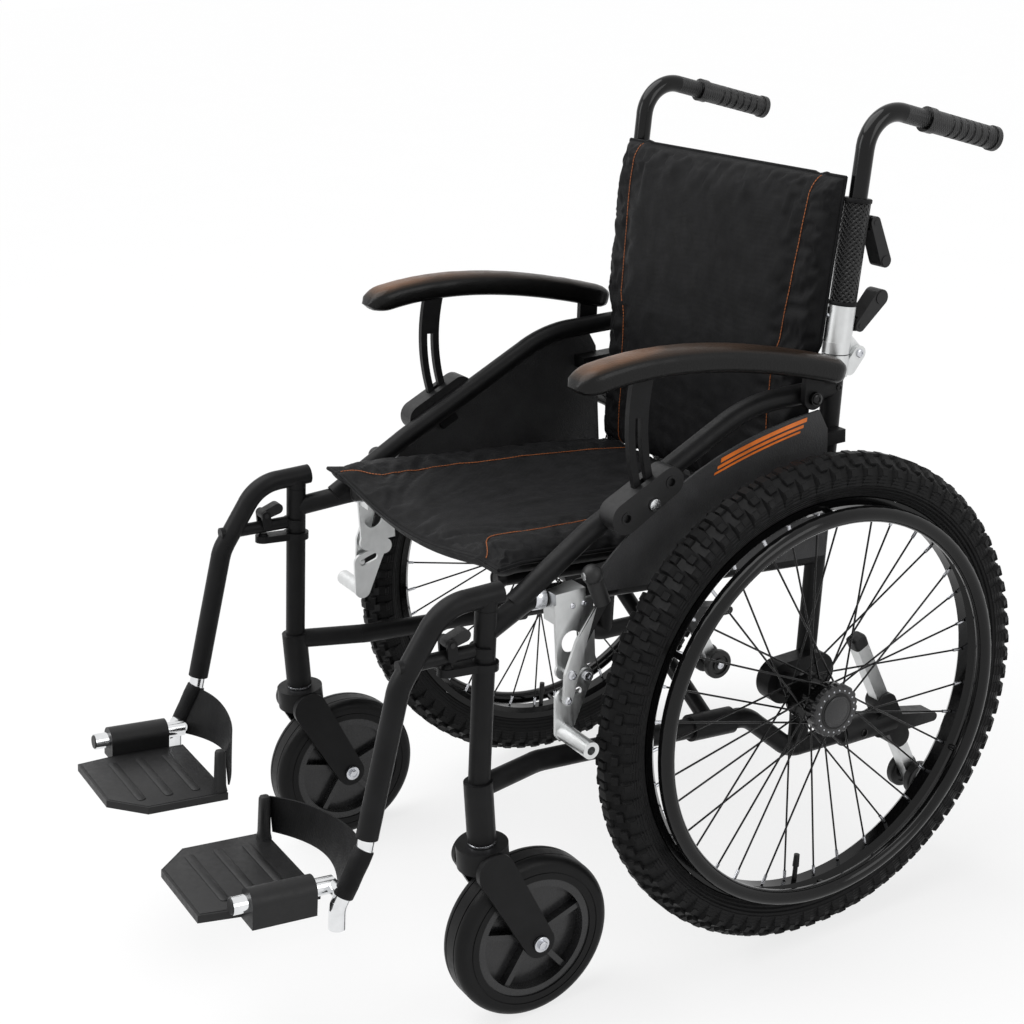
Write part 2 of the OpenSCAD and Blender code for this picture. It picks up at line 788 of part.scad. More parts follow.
// Leg rest: hanger tube over the front post, lower arm, and the telescoping foot tube
hanger_r = hanger_d / 2;
hanger_gap = 3;
hanger_z = post_h + hanger_r + hanger_gap;
tail_l = 19;
knee_l = 52;
hanger_tail = front_y(post_h) + tail_l;
hanger_a = [front_y(post_h) - knee_l, hanger_z];
hanger_b = [-wheelbase * 1.2, post_h * 0.88];
hanger_end = [-wheelbase * 1.318, plate_h * 1.24];
hanger_dir = unit(hanger_end - hanger_b);
lower_arm_r = 8;
arm_z = catch_z + catch_t * 1.6 + lower_arm_r * 1.25;
latch_w = 14;
latch_r = 6;
latch_pin_r = 3;
latch_end = [18, 5];
latch_pin = [mix(front_y(arm_z), hanger_b[0], 0.42), arm_z + lower_arm_r * 2.25];
ear_t = 4;
socket_l = 26;
module hanger() {
  saddle = arm_z - post_h - lower_arm_r;
  ear_x = latch_w / 2 + clear + ear_t / 2;
  color(black)
    difference() {
      union() {
        tube([
          [front_x, hanger_tail, hanger_z], at_x(front_x, hanger_a),
          at_x(front_x, hanger_b), at_x(front_x, hanger_end)], hanger_r, bend_r * 1.3);
        hanger_axis(over - hanger_pin_l)
          cylinder(h = hanger_pin_l + hanger_gap + hanger_r, r = hanger_pin_r);
        hanger_axis(clear) cylinder(h = hanger_r, r = hanger_r);
        // Lower arm with a saddle on the post
        bar([front_x, front_y(arm_z) - tube_r - clear, arm_z],
          [front_x, hanger_b[0], arm_z + lower_arm_r / 2], lower_arm_r);
        hanger_axis(saddle) cylinder(h = lower_arm_r * 1.4, r = sleeve_r);
        // Ears for the latch
        for (s = [-1, 1])
          slab(front_x + s * ear_x - ear_t / 2, front_x + s * ear_x + ear_t / 2)
            link(latch_pin, latch_r, [latch_pin[0], arm_z + lower_arm_r / 2], latch_r);
      }
      hanger_axis(saddle - lower_arm_r) cylinder(h = lower_arm_r * 4, r = tube_r + clear);
      hanger_axis(saddle - lower_arm_r)
        translate([-tube_d, clear, 0])
          cube([tube_d * 2, tube_d * 2, lower_arm_r * 4]);
      pin(latch_pin, front_x - tube_d, front_x + tube_d, latch_pin_r + run);
      bar(at_x(front_x, hanger_end - hanger_dir * socket_l), at_x(front_x, hanger_end + hanger_dir * over),
        foot_r + run);
    }
}

module hanger_latch() {
  half = latch_w / 2 + clear + ear_t + over;
  color(black)
    slab(front_x - latch_w / 2, front_x + latch_w / 2)
      link(latch_pin, latch_r, latch_pin + latch_end, latch_r + over);
  color(silver)
    pin(latch_pin, front_x - half, front_x + half, latch_pin_r);
}

// Footplate frame: origin at the rear of the hinge tube, y runs back, tilted up to the front
foot_r = foot_d / 2;
hinge_tube_r = 10;
hinge_tube_l = 116;
plate_off = 5;
plate_x = frame_x + plate_off;
plate_y = -wheelbase * 1.4;
plate_l = (front_reach + plate_y) / cos(plate_tilt);
foot_a = hanger_end - hanger_dir * (socket_l - over);
foot_k = hanger_end + hanger_dir * foot_r * 1.5;
foot_b = [plate_y - foot_r * 0.6, plate_h - foot_d * 0.85];
foot_c = foot_b - [foot_r * 0.3, foot_d * 1.3];
module at_plate() {
  translate([plate_x, plate_y, plate_h])
    rotate([-plate_tilt, 0, 0])
      children();
}
module foot_tube() {
  color("gainsboro") {
    tube([at_x(front_x, foot_a), at_x(front_x, foot_k), at_x(front_x, foot_b), at_x(front_x, foot_c)],
      foot_r, foot_d);
    at_plate() {
      rotate([90, 0, 0]) cylinder(h = hinge_tube_l, r = hinge_tube_r);
      translate([0, -hinge_tube_r * 0.2, 0])
        rotate([0, 90, 0])
          cylinder(h = front_x - plate_x, r = hinge_tube_r * 0.8);
    }
  }
}

knuckle_y = 24;
knuckle_l = 74;
knuckle_r = 16;
plate_drop = 16;
plate_edge = 6;
rib_n = 5;
rib_w = 3;
heel_r = 6;
heel_h = 34;
module footplate() {
  inner = plate_in - plate_x;
  chamfer = plate_l * 0.26;
  // The lower front edge of the tilted plate sets the chair's front reach
  reach = plate_l - (plate_drop + plate_t) * tan(plate_tilt);
  color(black)
    at_plate()
      difference() {
        union() {
          translate([0, 0, -plate_drop - plate_t])
            linear_extrude(plate_t)
              polygon([
                [inner, -plate_edge], [-knuckle_r, -plate_edge], [-knuckle_r, -knuckle_y],
                [0, -knuckle_y], [0, -knuckle_y - knuckle_l], [-knuckle_r, -knuckle_y - knuckle_l],
                [-knuckle_r * 1.4, -reach], [inner + chamfer, -reach], [inner, -reach + chamfer]]);
          // Knuckle round the hinge tube
          translate([-knuckle_r, -knuckle_y - knuckle_l, -plate_drop - plate_t])
            cube([knuckle_r * 2, knuckle_l, plate_drop + plate_t]);
          translate([0, -knuckle_y, 0])
            rotate([90, 0, 0])
              cylinder(h = knuckle_l, r = knuckle_r);
          // Heel post
          translate([inner + heel_r * 2, -plate_edge - heel_r, -plate_drop - over])
            cylinder(h = heel_h + over, r = heel_r);
        }
        translate([0, over, 0])
          rotate([90, 0, 0])
            cylinder(h = reach, r = hinge_tube_r + run);
        // Grooves in the tread
        for (i = [0 : rib_n - 1])
          translate([mix(inner * 0.86, -knuckle_r * 2.4, i / (rib_n - 1)),
            -reach * 0.8, -plate_drop - rib_w / 2])
            cube([rib_w, reach * 0.62, rib_w]);
      }
}

// Heel strap: a band bowed back from the foot tube to the heel post
strap_h = 46;
strap_t = 3;
strap_bow = 52;
strap_z = plate_h - strap_h * 0.17;
module heel_strap() {
  side = (strap_z + strap_h / 2 - foot_b[1]) / (foot_k[1] - foot_b[1]);
  a = [front_x - foot_r - clear, mix(foot_b[0], foot_k[0], side)];
  b = [plate_in + heel_r * 2, plate_y - plate_edge / 2];
  mid = [mix(a[0], b[0], 0.5), plate_y + strap_bow];
  steps = 12;
  line = [for (i = [0 : steps]) bezier(a, mid, b, i / steps)];
  outer = [for (i = [steps : -1 : 0]) line[i] + [0, strap_t]];
  color(cloth)
    translate([0, 0, strap_z])
      linear_extrude(strap_h)
        polygon(concat(line, outer));
}

// Brake lever with its grip, and the arm that carries the shoe
lever_x = brake_x + brake_step * 2;
kink_off = [14, 36];
kink = lever_pin + kink_off;
grip_a_off = [44, 76];
grip_a = lever_pin + grip_a_off;
grip_b_off = [32, 112];
grip_b = lever_pin + grip_b_off;
tail_r = 6;
kink_r = 7;
knob_r = 12;
module brake_lever() {
  grip_x = lever_x + brake_t / 2;
  color(silver)
    difference() {
      slab(lever_x, lever_x + brake_t) {
        link(tail_pin, tail_r, lever_pin, brake_eye_r);
        link(lever_pin, brake_eye_r, kink, kink_r);
        link(kink, kink_r, grip_a, tail_r);
      }
      pin(lever_pin, lever_x - over, lever_x + brake_t + over, brake_pin_r + run);
    }
  color(rubber) {
    bar(at_x(grip_x, grip_a), at_x(grip_x, grip_b), knob_r * 0.8);
    translate(at_x(grip_x, grip_b)) sphere(knob_r);
  }
  color(silver)
    pin(tail_pin, brake_x + brake_step + over, lever_x + over, brake_pin_r);
}
module brake_arm() {
  x0 = brake_x + brake_step;
  slot_r = brake_pin_r * 1.5;
  color(silver) {
    difference() {
      slab(x0, x0 + brake_t) {
        link(brake_pin, brake_eye_r, tail_end, knob_r);
        link(tail_pin, knob_r, tail_end, knob_r);
        link(tail_end, knob_r, shoe, shoe_r + over);
        link(tail_pin, knob_r, shoe, shoe_r + over);
      }
      pin(brake_pin, x0 - over, x0 + brake_t + over, brake_pin_r + run);
      slab(x0 - over, x0 + brake_t + over) link(tail_pin, slot_r, tail_end, slot_r);
    }
    difference() {
      pin(shoe, x0, wheel_x + shoe_reach, shoe_r);
      pin(shoe, wheel_x - shoe_r, wheel_x + shoe_reach + over, shoe_r * 0.5);
    }
  }
}

// Armrest: padded top on a slotted post and a rear strap
pad_x = frame_x + front_flare;
pad_back = 17;
pad_rise = 29;
pad_nose = 72;
pad_bow = 107;
pad_rear = [post_y(arch_h) - pad_back, arch_h + pad_rise];
pad_tip = [pad_rear[0] - pad_l, arch_h + pad_nose];
pad_ctrl = [mix(pad_rear[0], pad_tip[0], 0.62), arch_h + pad_bow];
pad_steps = 10;
pad_line = [for (i = [0 : pad_steps]) bezier(pad_rear, pad_ctrl, pad_tip, i / pad_steps)];
module arm_pad() {
  half = [0, pad_t / 2];
  color(rubber)
    slab(pad_x - pad_w / 2, pad_x + pad_w / 2) {
      polygon(concat([for (p = pad_line) p + half], [for (i = [pad_steps : -1 : 0]) pad_line[i] - half]));
      translate(pad_tip) circle(pad_t / 2);
    }
}
module arm_post() {
  x0 = post_x0 - over;
  x1 = post_x0 + post_t + over;
  color(black) {
    difference() {
      arm_ring(post_x0, post_x0 + post_t, post_w / 2, -post_turn, slot_turn * 2.8);
      arm_ring(x0, x1, slot_w / 2, -arm_drop - slot_turn, slot_turn);
      slab(x0, x1) over_pad();
    }
    difference() {
      slab(post_x0, post_x0 + post_t) link(arm_pivot, strap_w / 2, arm_pivot + strap_top, strap_w / 2);
      pin(arm_pivot, x0, x1, arm_pin_r + run);
      slab(x0, x1) over_pad();
    }
  }
}
// Space that the pad fills, and what lies above it
module over_pad() {
  low = [for (p = pad_line) p - [0, pad_t / 2]];
  polygon(concat(low, [pad_tip + [0, pad_l], pad_rear + [0, pad_l]]));
}

module arm_button() {
  step = bracket_out - button_t + button_travel;
  color(silver) {
    pin(button_at, post_x0 - clear, step + clear * 2, button_r);
    pin(button_at, step + clear, bracket_out + button_t, button_head_r);
  }
}

// Upper back tube: collar, sleeve, lever bosses, and the bore for the push handle
sleeve_d = 32;
collar_h = 50;
foot_h = 14;
cane_l = (cane_h - hinge_h) / cos(cane_tilt);
handle_in = 96;
handle_run = 4;
boss_r = 7;
cane_pin_r = 3;
cheek_gap = 0.5;
clamp_drop = 26;
clamp_at = [24, cane_l - clamp_drop];
lever_at = [24, 34];
module on_cane() {
  translate([frame_x, post_y(hinge_h), hinge_h])
    rotate([-cane_tilt, 0, 0])
      children();
}
module back_cane() {
  half = eye_t / 2 + cheek_t;
  color(black)
    difference() {
      union() {
        on_cane() translate([0, 0, collar_h]) cylinder(h = cane_l - collar_h, r = sleeve_d / 2);
        on_cane() translate([0, 0, foot_h / 2]) cylinder(h = collar_h, r = sleeve_r);
        on_post() translate([0, 0, collar_gap]) cylinder(h = foot_h, r = sleeve_r);
        // Eye round the pivot
        difference() {
          slab(frame_x - eye_t / 2, frame_x + eye_t / 2)
            link(hinge, hinge_eye_r, hinge + [-hinge_set * 0.6, collar_l * 0.7], hinge_eye_r);
          on_post() translate([-eye_t, -hinge_set, -collar_l]) cube([eye_t * 2, hinge_set * 1.6, collar_l]);
        }
        // Bosses for the clamp lever and the hinge lever
        for (p = [clamp_at, lever_at])
          on_cane() slab(-eye_t / 2, eye_t / 2) link([0, p[1]], boss_r, p, boss_r);
      }
      on_cane()
        translate([0, 0, cane_l - handle_in - handle_run])
          cylinder(h = handle_in + handle_run + over, r = handle_d / 2 + run);
      pin(hinge, frame_x - eye_t, frame_x + eye_t, hinge_pin_r + run);
    }
  color(silver)
    for (p = [clamp_at, lever_at])
      on_cane() pin(p, -half, half, cane_pin_r);
}

// Lever forked round a boss on the upper back tube
module cane_lever(p, tip, tip_r) {
  half = eye_t / 2 + cheek_t - cheek_gap;
  slot = eye_t / 2 + cheek_gap;
  color(black)
    on_cane()
      difference() {
        union() {
          slab(-half, half) link(p, boss_r, p + tip, tip_r);
          // Thumb pad, a little wider than the lever
          pin(p + tip, -half - over, half + over, tip_r * 0.8);
        }
        pin(p, -slot, slot, boss_r * 1.45);
        pin(p, -half - over * 2, half + over * 2, cane_pin_r + run);
      }
}
hinge_lever_tip = [26, 34];
hinge_lever_r = 10;
clamp_lever_tip = [24, -44];
clamp_lever_r = 8;
module hinge_lever() { cane_lever(lever_at, hinge_lever_tip, hinge_lever_r); }
module clamp_lever() { cane_lever(clamp_at, clamp_lever_tip, clamp_lever_r); }

// Push handle: tube in the cane, bent back to a ribbed grip
grip_slope = 17;
grip_r = 15;
handle_rise = 106;
handle_bend = 44;
cane_top = [post_y(hinge_h), hinge_h] + lean(cane_tilt) * cane_l;
handle_base = cane_top - lean(cane_tilt) * handle_in;
handle_top = cane_top + lean(cane_tilt) * handle_rise;
grip_dir = [cos(grip_slope), -sin(grip_slope)];
grip_reach = (rear_reach - grip_r * sin(grip_slope) - handle_top[0]) / cos(grip_slope);
grip_start = handle_top + grip_dir * (grip_reach - grip_l);
module push_handle() {
  rib_r = grip_r * 0.12;
  color(black)
    tube([at_x(frame_x, handle_base), at_x(frame_x, handle_top),
      at_x(frame_x, grip_start + grip_dir * grip_l * 0.8)], handle_d / 2, handle_bend);
  color(rubber)
    translate(at_x(frame_x, grip_start))
      rotate([-90 - grip_slope, 0, 0])
        difference() {
          union() {
            cylinder(h = grip_l, r = grip_r * 0.9);
            cylinder(h = grip_l * 0.1, r = grip_r);
            translate([0, 0, grip_l * 0.94]) cylinder(h = grip_l * 0.06, r = grip_r);
          }
          translate([0, 0, -over]) cylinder(h = grip_l * 0.85, r = handle_d / 2 + run);
          for (i = [0 : 5])
            translate([0, 0, grip_l * (0.3 + i * 0.1)])
              rotate_extrude()
                translate([grip_r * 0.9, 0])
                  circle(rib_r);
        }
}

// Scissor brace: sleeve on one lower rail, tube to the other side's seat rail
module seat_brace(s) {
  color(black)
    tilted()
      difference() {
        union() {
          bar([-frame_x, s * brace_gap / 2, 0], [rail_x, s * brace_gap / 2, rail_rise], brace_r);
          translate([-frame_x, s * brace_gap / 2, 0])
            rotate([90, 0, 0])
              cylinder(h = sleeve_l, r = sleeve_r, center = true);
          translate([rail_x, -rail_front, rail_rise])
            rotate([-90, 0, 0])
              cylinder(h = rail_front + rail_back, r = rail_d / 2);
        }
        translate([-frame_x, 0, 0])
          rotate([90, 0, 0])
            cylinder(h = sleeve_l * 3, r = tube_r + run, center = true);
        if (s > 0)
          translate([brace_mid[0], 0, brace_mid[1]])
            rotate([90, 0, 0])
              cylinder(h = brace_gap * 2, r = brace_pin_r + run, center = true);
      }
  if (s < 0)
    color(silver)
      tilted()
        translate([brace_mid[0], brace_gap / 2 + brace_r + over, brace_mid[1]])
          rotate([90, 0, 0])
            cylinder(h = brace_gap + brace_r * 2 + over * 2, r = brace_pin_r);
}
// Each brace is drawn hinged on the right; the other one is its mirror image
module brace_here(side) {
  translate([0, axle_y, 0])
    if (side < 0) seat_brace(-1);
    else mirror([1, 0, 0]) seat_brace(1);
}

// Quilted pad as one closed grid: a crowned face, drawn-in sides and sewn channels
function crown(u, v) = pow(max(0, (1 - pow(abs(u), 4)) * (1 - pow(abs(v), 4))), 0.5);
function sewn(u) = exp(-pow((abs(u) - seam_share) / seam_w_share, 2));
function quilt(u, v, rise) = rise * crown(u, v) - min(pinch, rise * 0.4) * sewn(u);
module pad(nx, ny, place) {
  top = [for (i = [0 : nx]) for (j = [0 : ny]) place(i / nx * 2 - 1, j / ny * 2 - 1, 1)];
  low = [for (i = [0 : nx]) for (j = [0 : ny]) place(i / nx * 2 - 1, j / ny * 2 - 1, 0)];
  m = ny + 1;
  count = (nx + 1) * m;
  rim = concat([for (i = [0 : nx - 1]) i * m], [for (j = [0 : ny - 1]) nx * m + j],
    [for (i = [nx : -1 : 1]) i * m + ny], [for (j = [ny : -1 : 1]) j]);
  faces = concat(
    [for (i = [0 : nx - 1]) for (j = [0 : ny - 1]) let (a = i * m + j)
      each [[a, a + 1, a + m + 1], [a, a + m + 1, a + m]]],
    [for (i = [0 : nx - 1]) for (j = [0 : ny - 1]) let (a = count + i * m + j)
      each [[a, a + m + 1, a + 1], [a, a + m, a + m + 1]]],
    [for (k = [0 : len(rim) - 1]) let (a = rim[k], b = rim[(k + 1) % len(rim)])
      each [[a, b, count + b], [a, count + b, count + a]]]);
  polyhedron(concat(top, low), faces);
}

seam_share = 0.62;
seam_w_share = 0.06;
pinch = 4;
pad_cells = [20, 18];
seat_front_y = -290;
seat_back_y = 144;
seat_half = 211;
seat_corner = 11;
corner_share = 0.16;
seat_crown = 12;
seat_sag = 20;
sag_share = 0.8;
function sag(u, v) = seat_sag * pow(max(0, 1 - pow(u / sag_share, 2)), 1.3) * mix(1, 0.3, (v + 1) / 2);
seat_place = function (u, v, top) let (
    y = mix(seat_front_y, seat_back_y, (v + 1) / 2),
    flare = seat_corner * max(0, corner_share - 1 - v) / corner_share,
    half = seat_half + flare - pinch * (1 - v * v))
  [u * half, y, rail_rise + rail_d / 2 + clear - sag(u, v) + top * (seat_t + quilt(u, v, seat_crown))];
module seat_pad() {
  color(cloth)
    translate([0, axle_y, 0])
      tilted()
        pad(pad_cells[0], pad_cells[1], seat_place);
}

back_gap = 14;
back_low = seat_h + back_gap;
back_off = sleeve_d / 2 - clear / 2;
back_half_low = 210;
back_half = 221;
back_step = [25, 30];
back_crown = 10;
function back_y(z) = post_y(min(z, hinge_h)) + max(0, z - hinge_h) * tan(cane_tilt);
back_place = function (u, v, top) let (
    z = mix(back_low, back_h, (v + 1) / 2),
    wide = min(1, max(0, (z - arch_h - back_step[0]) / back_step[1])),
    half = mix(back_half_low, back_half, wide) - pinch * (1 - v * v))
  [u * half, back_y(z) - back_off - top * (back_t + quilt(u, v, back_crown)), z];
module back_pad() {
  color(cloth)
    translate([0, axle_y, 0])
      pad(pad_cells[0], pad_cells[1], back_place);
}

left() side_frame();  // left_side_frame
right() side_frame();  // right_side_frame
left() frame_fittings();  // left_frame_fittings
right() frame_fittings();  // right_frame_fittings
left() arm_bracket();  // left_arm_bracket
right() arm_bracket();  // right_arm_bracket
left() skirt_guard();  // left_skirt_guard
right() skirt_guard();  // right_skirt_guard
left() tip_block();  // left_tip_block
right() tip_block();  // right_tip_block
left() tyre();  // left_tyre
right() tyre();  // right_tyre
left() rim();  // left_rim
right() rim();  // right_rim
left() hub_and_spokes();  // left_hub_and_spokes
right() hub_and_spokes();  // right_hub_and_spokes
left() handrim();  // left_handrim
right() handrim();  // right_handrim
left() caster_fork();  // left_caster_fork
right() caster_fork();  // right_caster_fork
left() caster_tyre();  // left_caster_tyre
right() caster_tyre();  // right_caster_tyre
left() caster_hub();  // left_caster_hub
right() caster_hub();  // right_caster_hub
left() hanger();  // left_hanger
right() hanger();  // right_hanger
left() hanger_latch();  // left_hanger_latch
right() hanger_latch();  // right_hanger_latch
left() foot_tube();  // left_foot_tube
right() foot_tube();  // right_foot_tube
left() footplate();  // left_footplate
right() footplate();  // right_footplate
left() heel_strap();  // left_heel_strap
right() heel_strap();  // right_heel_strap
left() brake_lever();  // left_brake_lever
right() brake_lever();  // right_brake_lever
left() brake_arm();  // left_brake_arm
right() brake_arm();  // right_brake_arm
left() arm_pad();  // left_arm_pad
right() arm_pad();  // right_arm_pad
left() arm_post();  // left_arm_post
right() arm_post();  // right_arm_post
left() arm_button();  // left_arm_button
right() arm_button();  // right_arm_button
left() back_cane();  // left_back_cane
right() back_cane();  // right_back_cane
left() hinge_lever();  // left_hinge_lever
right() hinge_lever();  // right_hinge_lever
left() push_handle();  // left_push_handle
right() push_handle();  // right_push_handle
left() clamp_lever();  // left_clamp_lever
right() clamp_lever();  // right_clamp_lever
left() antitip_strut();  // left_antitip_strut
right() antitip_strut();  // right_antitip_strut
left() antitip_wheels();  // left_antitip_wheels
right() antitip_wheels();  // right_antitip_wheels
brace_here(1);  // left_seat_brace
brace_here(-1);  // right_seat_brace
seat_pad();
back_pad();
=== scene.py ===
"""All terrain wheelchair: finishes, soft goods and small fittings round the CAD frame."""

import json
import math

import bmesh
import bpy
import numpy as np
from mathutils import Matrix, Vector, noise

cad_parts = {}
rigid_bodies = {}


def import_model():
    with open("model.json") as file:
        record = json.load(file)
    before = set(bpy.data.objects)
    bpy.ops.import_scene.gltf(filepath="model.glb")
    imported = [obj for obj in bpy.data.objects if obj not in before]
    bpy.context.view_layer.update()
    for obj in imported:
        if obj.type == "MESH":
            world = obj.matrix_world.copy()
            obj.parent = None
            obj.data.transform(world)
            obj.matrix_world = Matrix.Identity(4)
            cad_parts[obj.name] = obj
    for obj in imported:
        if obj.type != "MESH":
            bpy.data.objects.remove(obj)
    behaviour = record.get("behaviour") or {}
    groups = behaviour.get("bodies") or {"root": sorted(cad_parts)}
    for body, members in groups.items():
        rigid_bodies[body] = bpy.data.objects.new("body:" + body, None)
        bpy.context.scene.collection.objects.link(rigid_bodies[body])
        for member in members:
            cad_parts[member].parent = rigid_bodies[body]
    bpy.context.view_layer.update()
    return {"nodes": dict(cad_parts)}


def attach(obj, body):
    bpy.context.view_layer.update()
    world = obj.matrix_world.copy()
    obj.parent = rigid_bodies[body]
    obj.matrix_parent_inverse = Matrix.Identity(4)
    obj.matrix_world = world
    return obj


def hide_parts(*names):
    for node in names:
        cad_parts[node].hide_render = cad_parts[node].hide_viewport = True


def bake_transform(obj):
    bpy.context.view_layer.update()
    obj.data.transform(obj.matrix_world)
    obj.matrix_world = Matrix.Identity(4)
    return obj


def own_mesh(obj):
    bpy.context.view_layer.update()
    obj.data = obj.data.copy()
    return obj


for left_over in list(bpy.data.objects):
    bpy.data.objects.remove(left_over)
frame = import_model()
nodes = frame["nodes"]
SIDES = (("left", 1), ("right", -1))

# Sizes repeated from the CAD source, in millimetres from the foot of the rear axle
AXLE_Y = 207.5
WHEEL_R = 306.5
WHEEL_X = 305.0
FRAME_X = 225.0
FRONT_X = 252.0
TUBE_R = 12.5
FRAME_TILT = math.radians(6)


def at(x, y, z):
    """A point in millimetres from the foot of the rear axle, in metres of the shared frame."""
    return np.array((x, y + AXLE_Y, z), float) / 1000


def tilted(y, z, tilt):
    """A side-view step, turned back by an angle."""
    c, s = math.cos(tilt), math.sin(tilt)
    return y * c + z * s, z * c - y * s


def smooth(t):
    t = min(1.0, max(0.0, t))
    return t * t * (3 - 2 * t)


def full_turn(n):
    """Angles of n even steps round a circle."""
    return np.linspace(0, 2 * math.pi, n, endpoint=False)


def squarer(value, power):
    """A sine or cosine raised to a power with its sign kept, which squares off a round."""
    return math.copysign(abs(value) ** power, value)


# Materials


class Shader:
    """A principled material with helpers for its procedural nodes."""

    def __init__(self, name, **sockets):
        self.name = name
        self.material = bpy.data.materials.new(name)
        self.material.use_nodes = True
        self.tree = self.material.node_tree
        self.surface = self.tree.nodes["Principled BSDF"]
        for key, value in sockets.items():
            socket = self.surface.inputs[key.replace("_", " ")]
            socket.default_value = (*value, 1) if isinstance(value, tuple) else value
        self.bump = None

    def node(self, kind, values=(), **settings):
        made = self.tree.nodes.new("ShaderNode" + kind)
        for key, value in settings.items():
            setattr(made, key, value)
        for key, value in dict(values).items():
            made.inputs[key].default_value = value
        return made

    def join(self, out, into):
        self.tree.links.new(out, into)

    def place(self, scale=(1, 1, 1), turn=(0, 0, 0), move=(0, 0, 0)):
        """Position in the shared frame, scaled, turned and then moved."""
        where = self.node("TexCoord")
        mapped = self.node("Mapping", {"Scale": scale, "Rotation": turn, "Location": move})
        self.join(where.outputs["Object"], mapped.inputs["Vector"])
        return mapped.outputs["Vector"]

    def noise(self, size, detail=3.0, rough=0.55, **placing):
        made = self.node("TexNoise", {"Scale": size, "Detail": detail, "Roughness": rough})
        self.join(self.place(**placing), made.inputs["Vector"])
        return made.outputs["Fac"]

    def bands(self, axis, size, distortion=0.0, **placing):
        made = self.node("TexWave", {"Scale": size, "Distortion": distortion},
                         wave_type="BANDS", bands_direction=axis)
        self.join(self.place(**placing), made.inputs["Vector"])
        return made.outputs["Fac"]

    def ranged(self, value, low, high, start=0.3, stop=0.7):
        made = self.node("MapRange", {1: start, 2: stop, 3: low, 4: high})
        self.join(value, made.inputs[0])
        return made.outputs[0]

    def roughness(self, value, low, high):
        self.join(self.ranged(value, low, high), self.surface.inputs["Roughness"])

    def colours(self, value, *stops):
        made = self.node("ValToRGB")
        ramp = made.color_ramp
        while len(ramp.elements) < len(stops):
            ramp.elements.new(0.5)
        for element, (where, colour) in zip(ramp.elements, stops):
            element.position = where
            element.color = (*colour, 1)
        self.join(value, made.inputs[0])
        self.join(made.outputs[0], self.surface.inputs["Base Color"])

    def raise_by(self, height, distance, strength=1.0):
        made = self.node("Bump", {"Strength": strength, "Distance": distance})
        self.join(height, made.inputs["Height"])
        if self.bump:
            self.join(self.bump, made.inputs["Normal"])
        self.bump = made.outputs["Normal"]
        self.join(self.bump, self.surface.inputs["Normal"])

    def maths(self, kind, *values):
        made = self.node("Math", operation=kind)
        for socket, value in zip(made.inputs, values):
            if isinstance(value, (int, float)):
                socket.default_value = value
            else:
                self.join(value, socket)
        return made.outputs[0]

    def split(self, vector):
        made = self.node("SeparateXYZ")
        self.join(vector, made.inputs[0])
        return made.outputs


MATERIALS = {}


def keep(shader):
    MATERIALS[shader.name] = shader.material
    return shader


def shade(colour, by):
    return tuple(c * by for c in colour)


def coated(name, grey, low, high, grain, depth, **sockets):
    """Paint or moulded plastic: uneven gloss, soft blotches and a fine raised grain."""
    s = keep(Shader(name, **sockets))
    colour = grey if isinstance(grey, tuple) else (grey, grey, grey * 1.04)
    s.colours(s.noise(28, 4), (0.3, shade(colour, 0.8)), (0.72, shade(colour, 1.25)))
    s.roughness(s.noise(140, 5), low, high)
    s.raise_by(s.noise(grain, 2), depth)
    return s


def metal(name, colour, low, high, brush=(1, 1, 1)):
    """Bare or plated metal with a fine grain, which brush stretches."""
    s = keep(Shader(name, Metallic=1.0))
    s.colours(s.noise(60, 4), (0.3, shade(colour, 0.88)), (0.7, colour))
    s.roughness(s.noise(420, 4, scale=brush), low, high)
    s.raise_by(s.noise(900, 2, scale=brush), 0.00003)


def cloth(name, grey, gloss):
    """Woven nylon: crossed threads, slight creases and a soft sheen."""
    s = keep(Shader(name, Sheen_Weight=0.012, Sheen_Roughness=0.4, Sheen_Tint=(0.6, 0.6, 0.63),
                    Specular_IOR_Level=gloss))
    threads = [s.bands(axis, 260.0, 0.6) for axis in "XYZ"]
    weave = s.maths("ADD", s.maths("ADD", threads[0], threads[1]), threads[2])
    colour = (grey, grey, grey * 1.05)
    s.colours(s.noise(42, 5), (0.32, shade(colour, 0.7)), (0.7, shade(colour, 1.3)))
    s.roughness(s.noise(75, 4), 0.42, 0.56)
    s.raise_by(s.noise(34, 5, 0.6), 0.0014, 0.4)
    s.raise_by(s.noise(120, 3), 0.0004, 0.4)
    s.raise_by(weave, 0.00012, 0.6)


# Name, colour or grey, least and most roughness, how fine the grain is and how deep
coated("powder_coat", 0.0088, 0.34, 0.48, 1500, 0.00008, Specular_IOR_Level=0.12)
coated("gloss_paint", 0.004, 0.08, 0.17, 500, 0.00001, Specular_IOR_Level=0.2,
       Coat_Weight=0.06, Coat_Roughness=0.05)
coated("fine_moulding", 0.0085, 0.4, 0.56, 1100, 0.00014, Specular_IOR_Level=0.3)
coated("grained_guard", 0.028, 0.4, 0.56, 620, 0.0006, Specular_IOR_Level=0.36)
coated("smooth_plastic", 0.019, 0.2, 0.32, 700, 0.00003, Specular_IOR_Level=0.4)
coated("soft_rubber", 0.0065, 0.4, 0.55, 800, 0.00006, Specular_IOR_Level=0.34)
coated("caster_rubber", 0.0055, 0.34, 0.48, 500, 0.00008, Specular_IOR_Level=0.14)
coated("orange_thread", (0.36, 0.1, 0.022), 0.5, 0.7, 1600, 0.0002)
coated("orange_stripe", (0.86, 0.2, 0.02), 0.36, 0.5, 800, 0.00005)
metal("satin_alloy", (0.66, 0.67, 0.67), 0.28, 0.44, (1, 1, 0.08))
metal("bright_chrome", (0.8, 0.81, 0.82), 0.04, 0.11)
metal("zinc", (0.6, 0.61, 0.64), 0.2, 0.36)
cloth("black_nylon", 0.009, 0.06)
cloth("webbing", 0.007, 0.1)

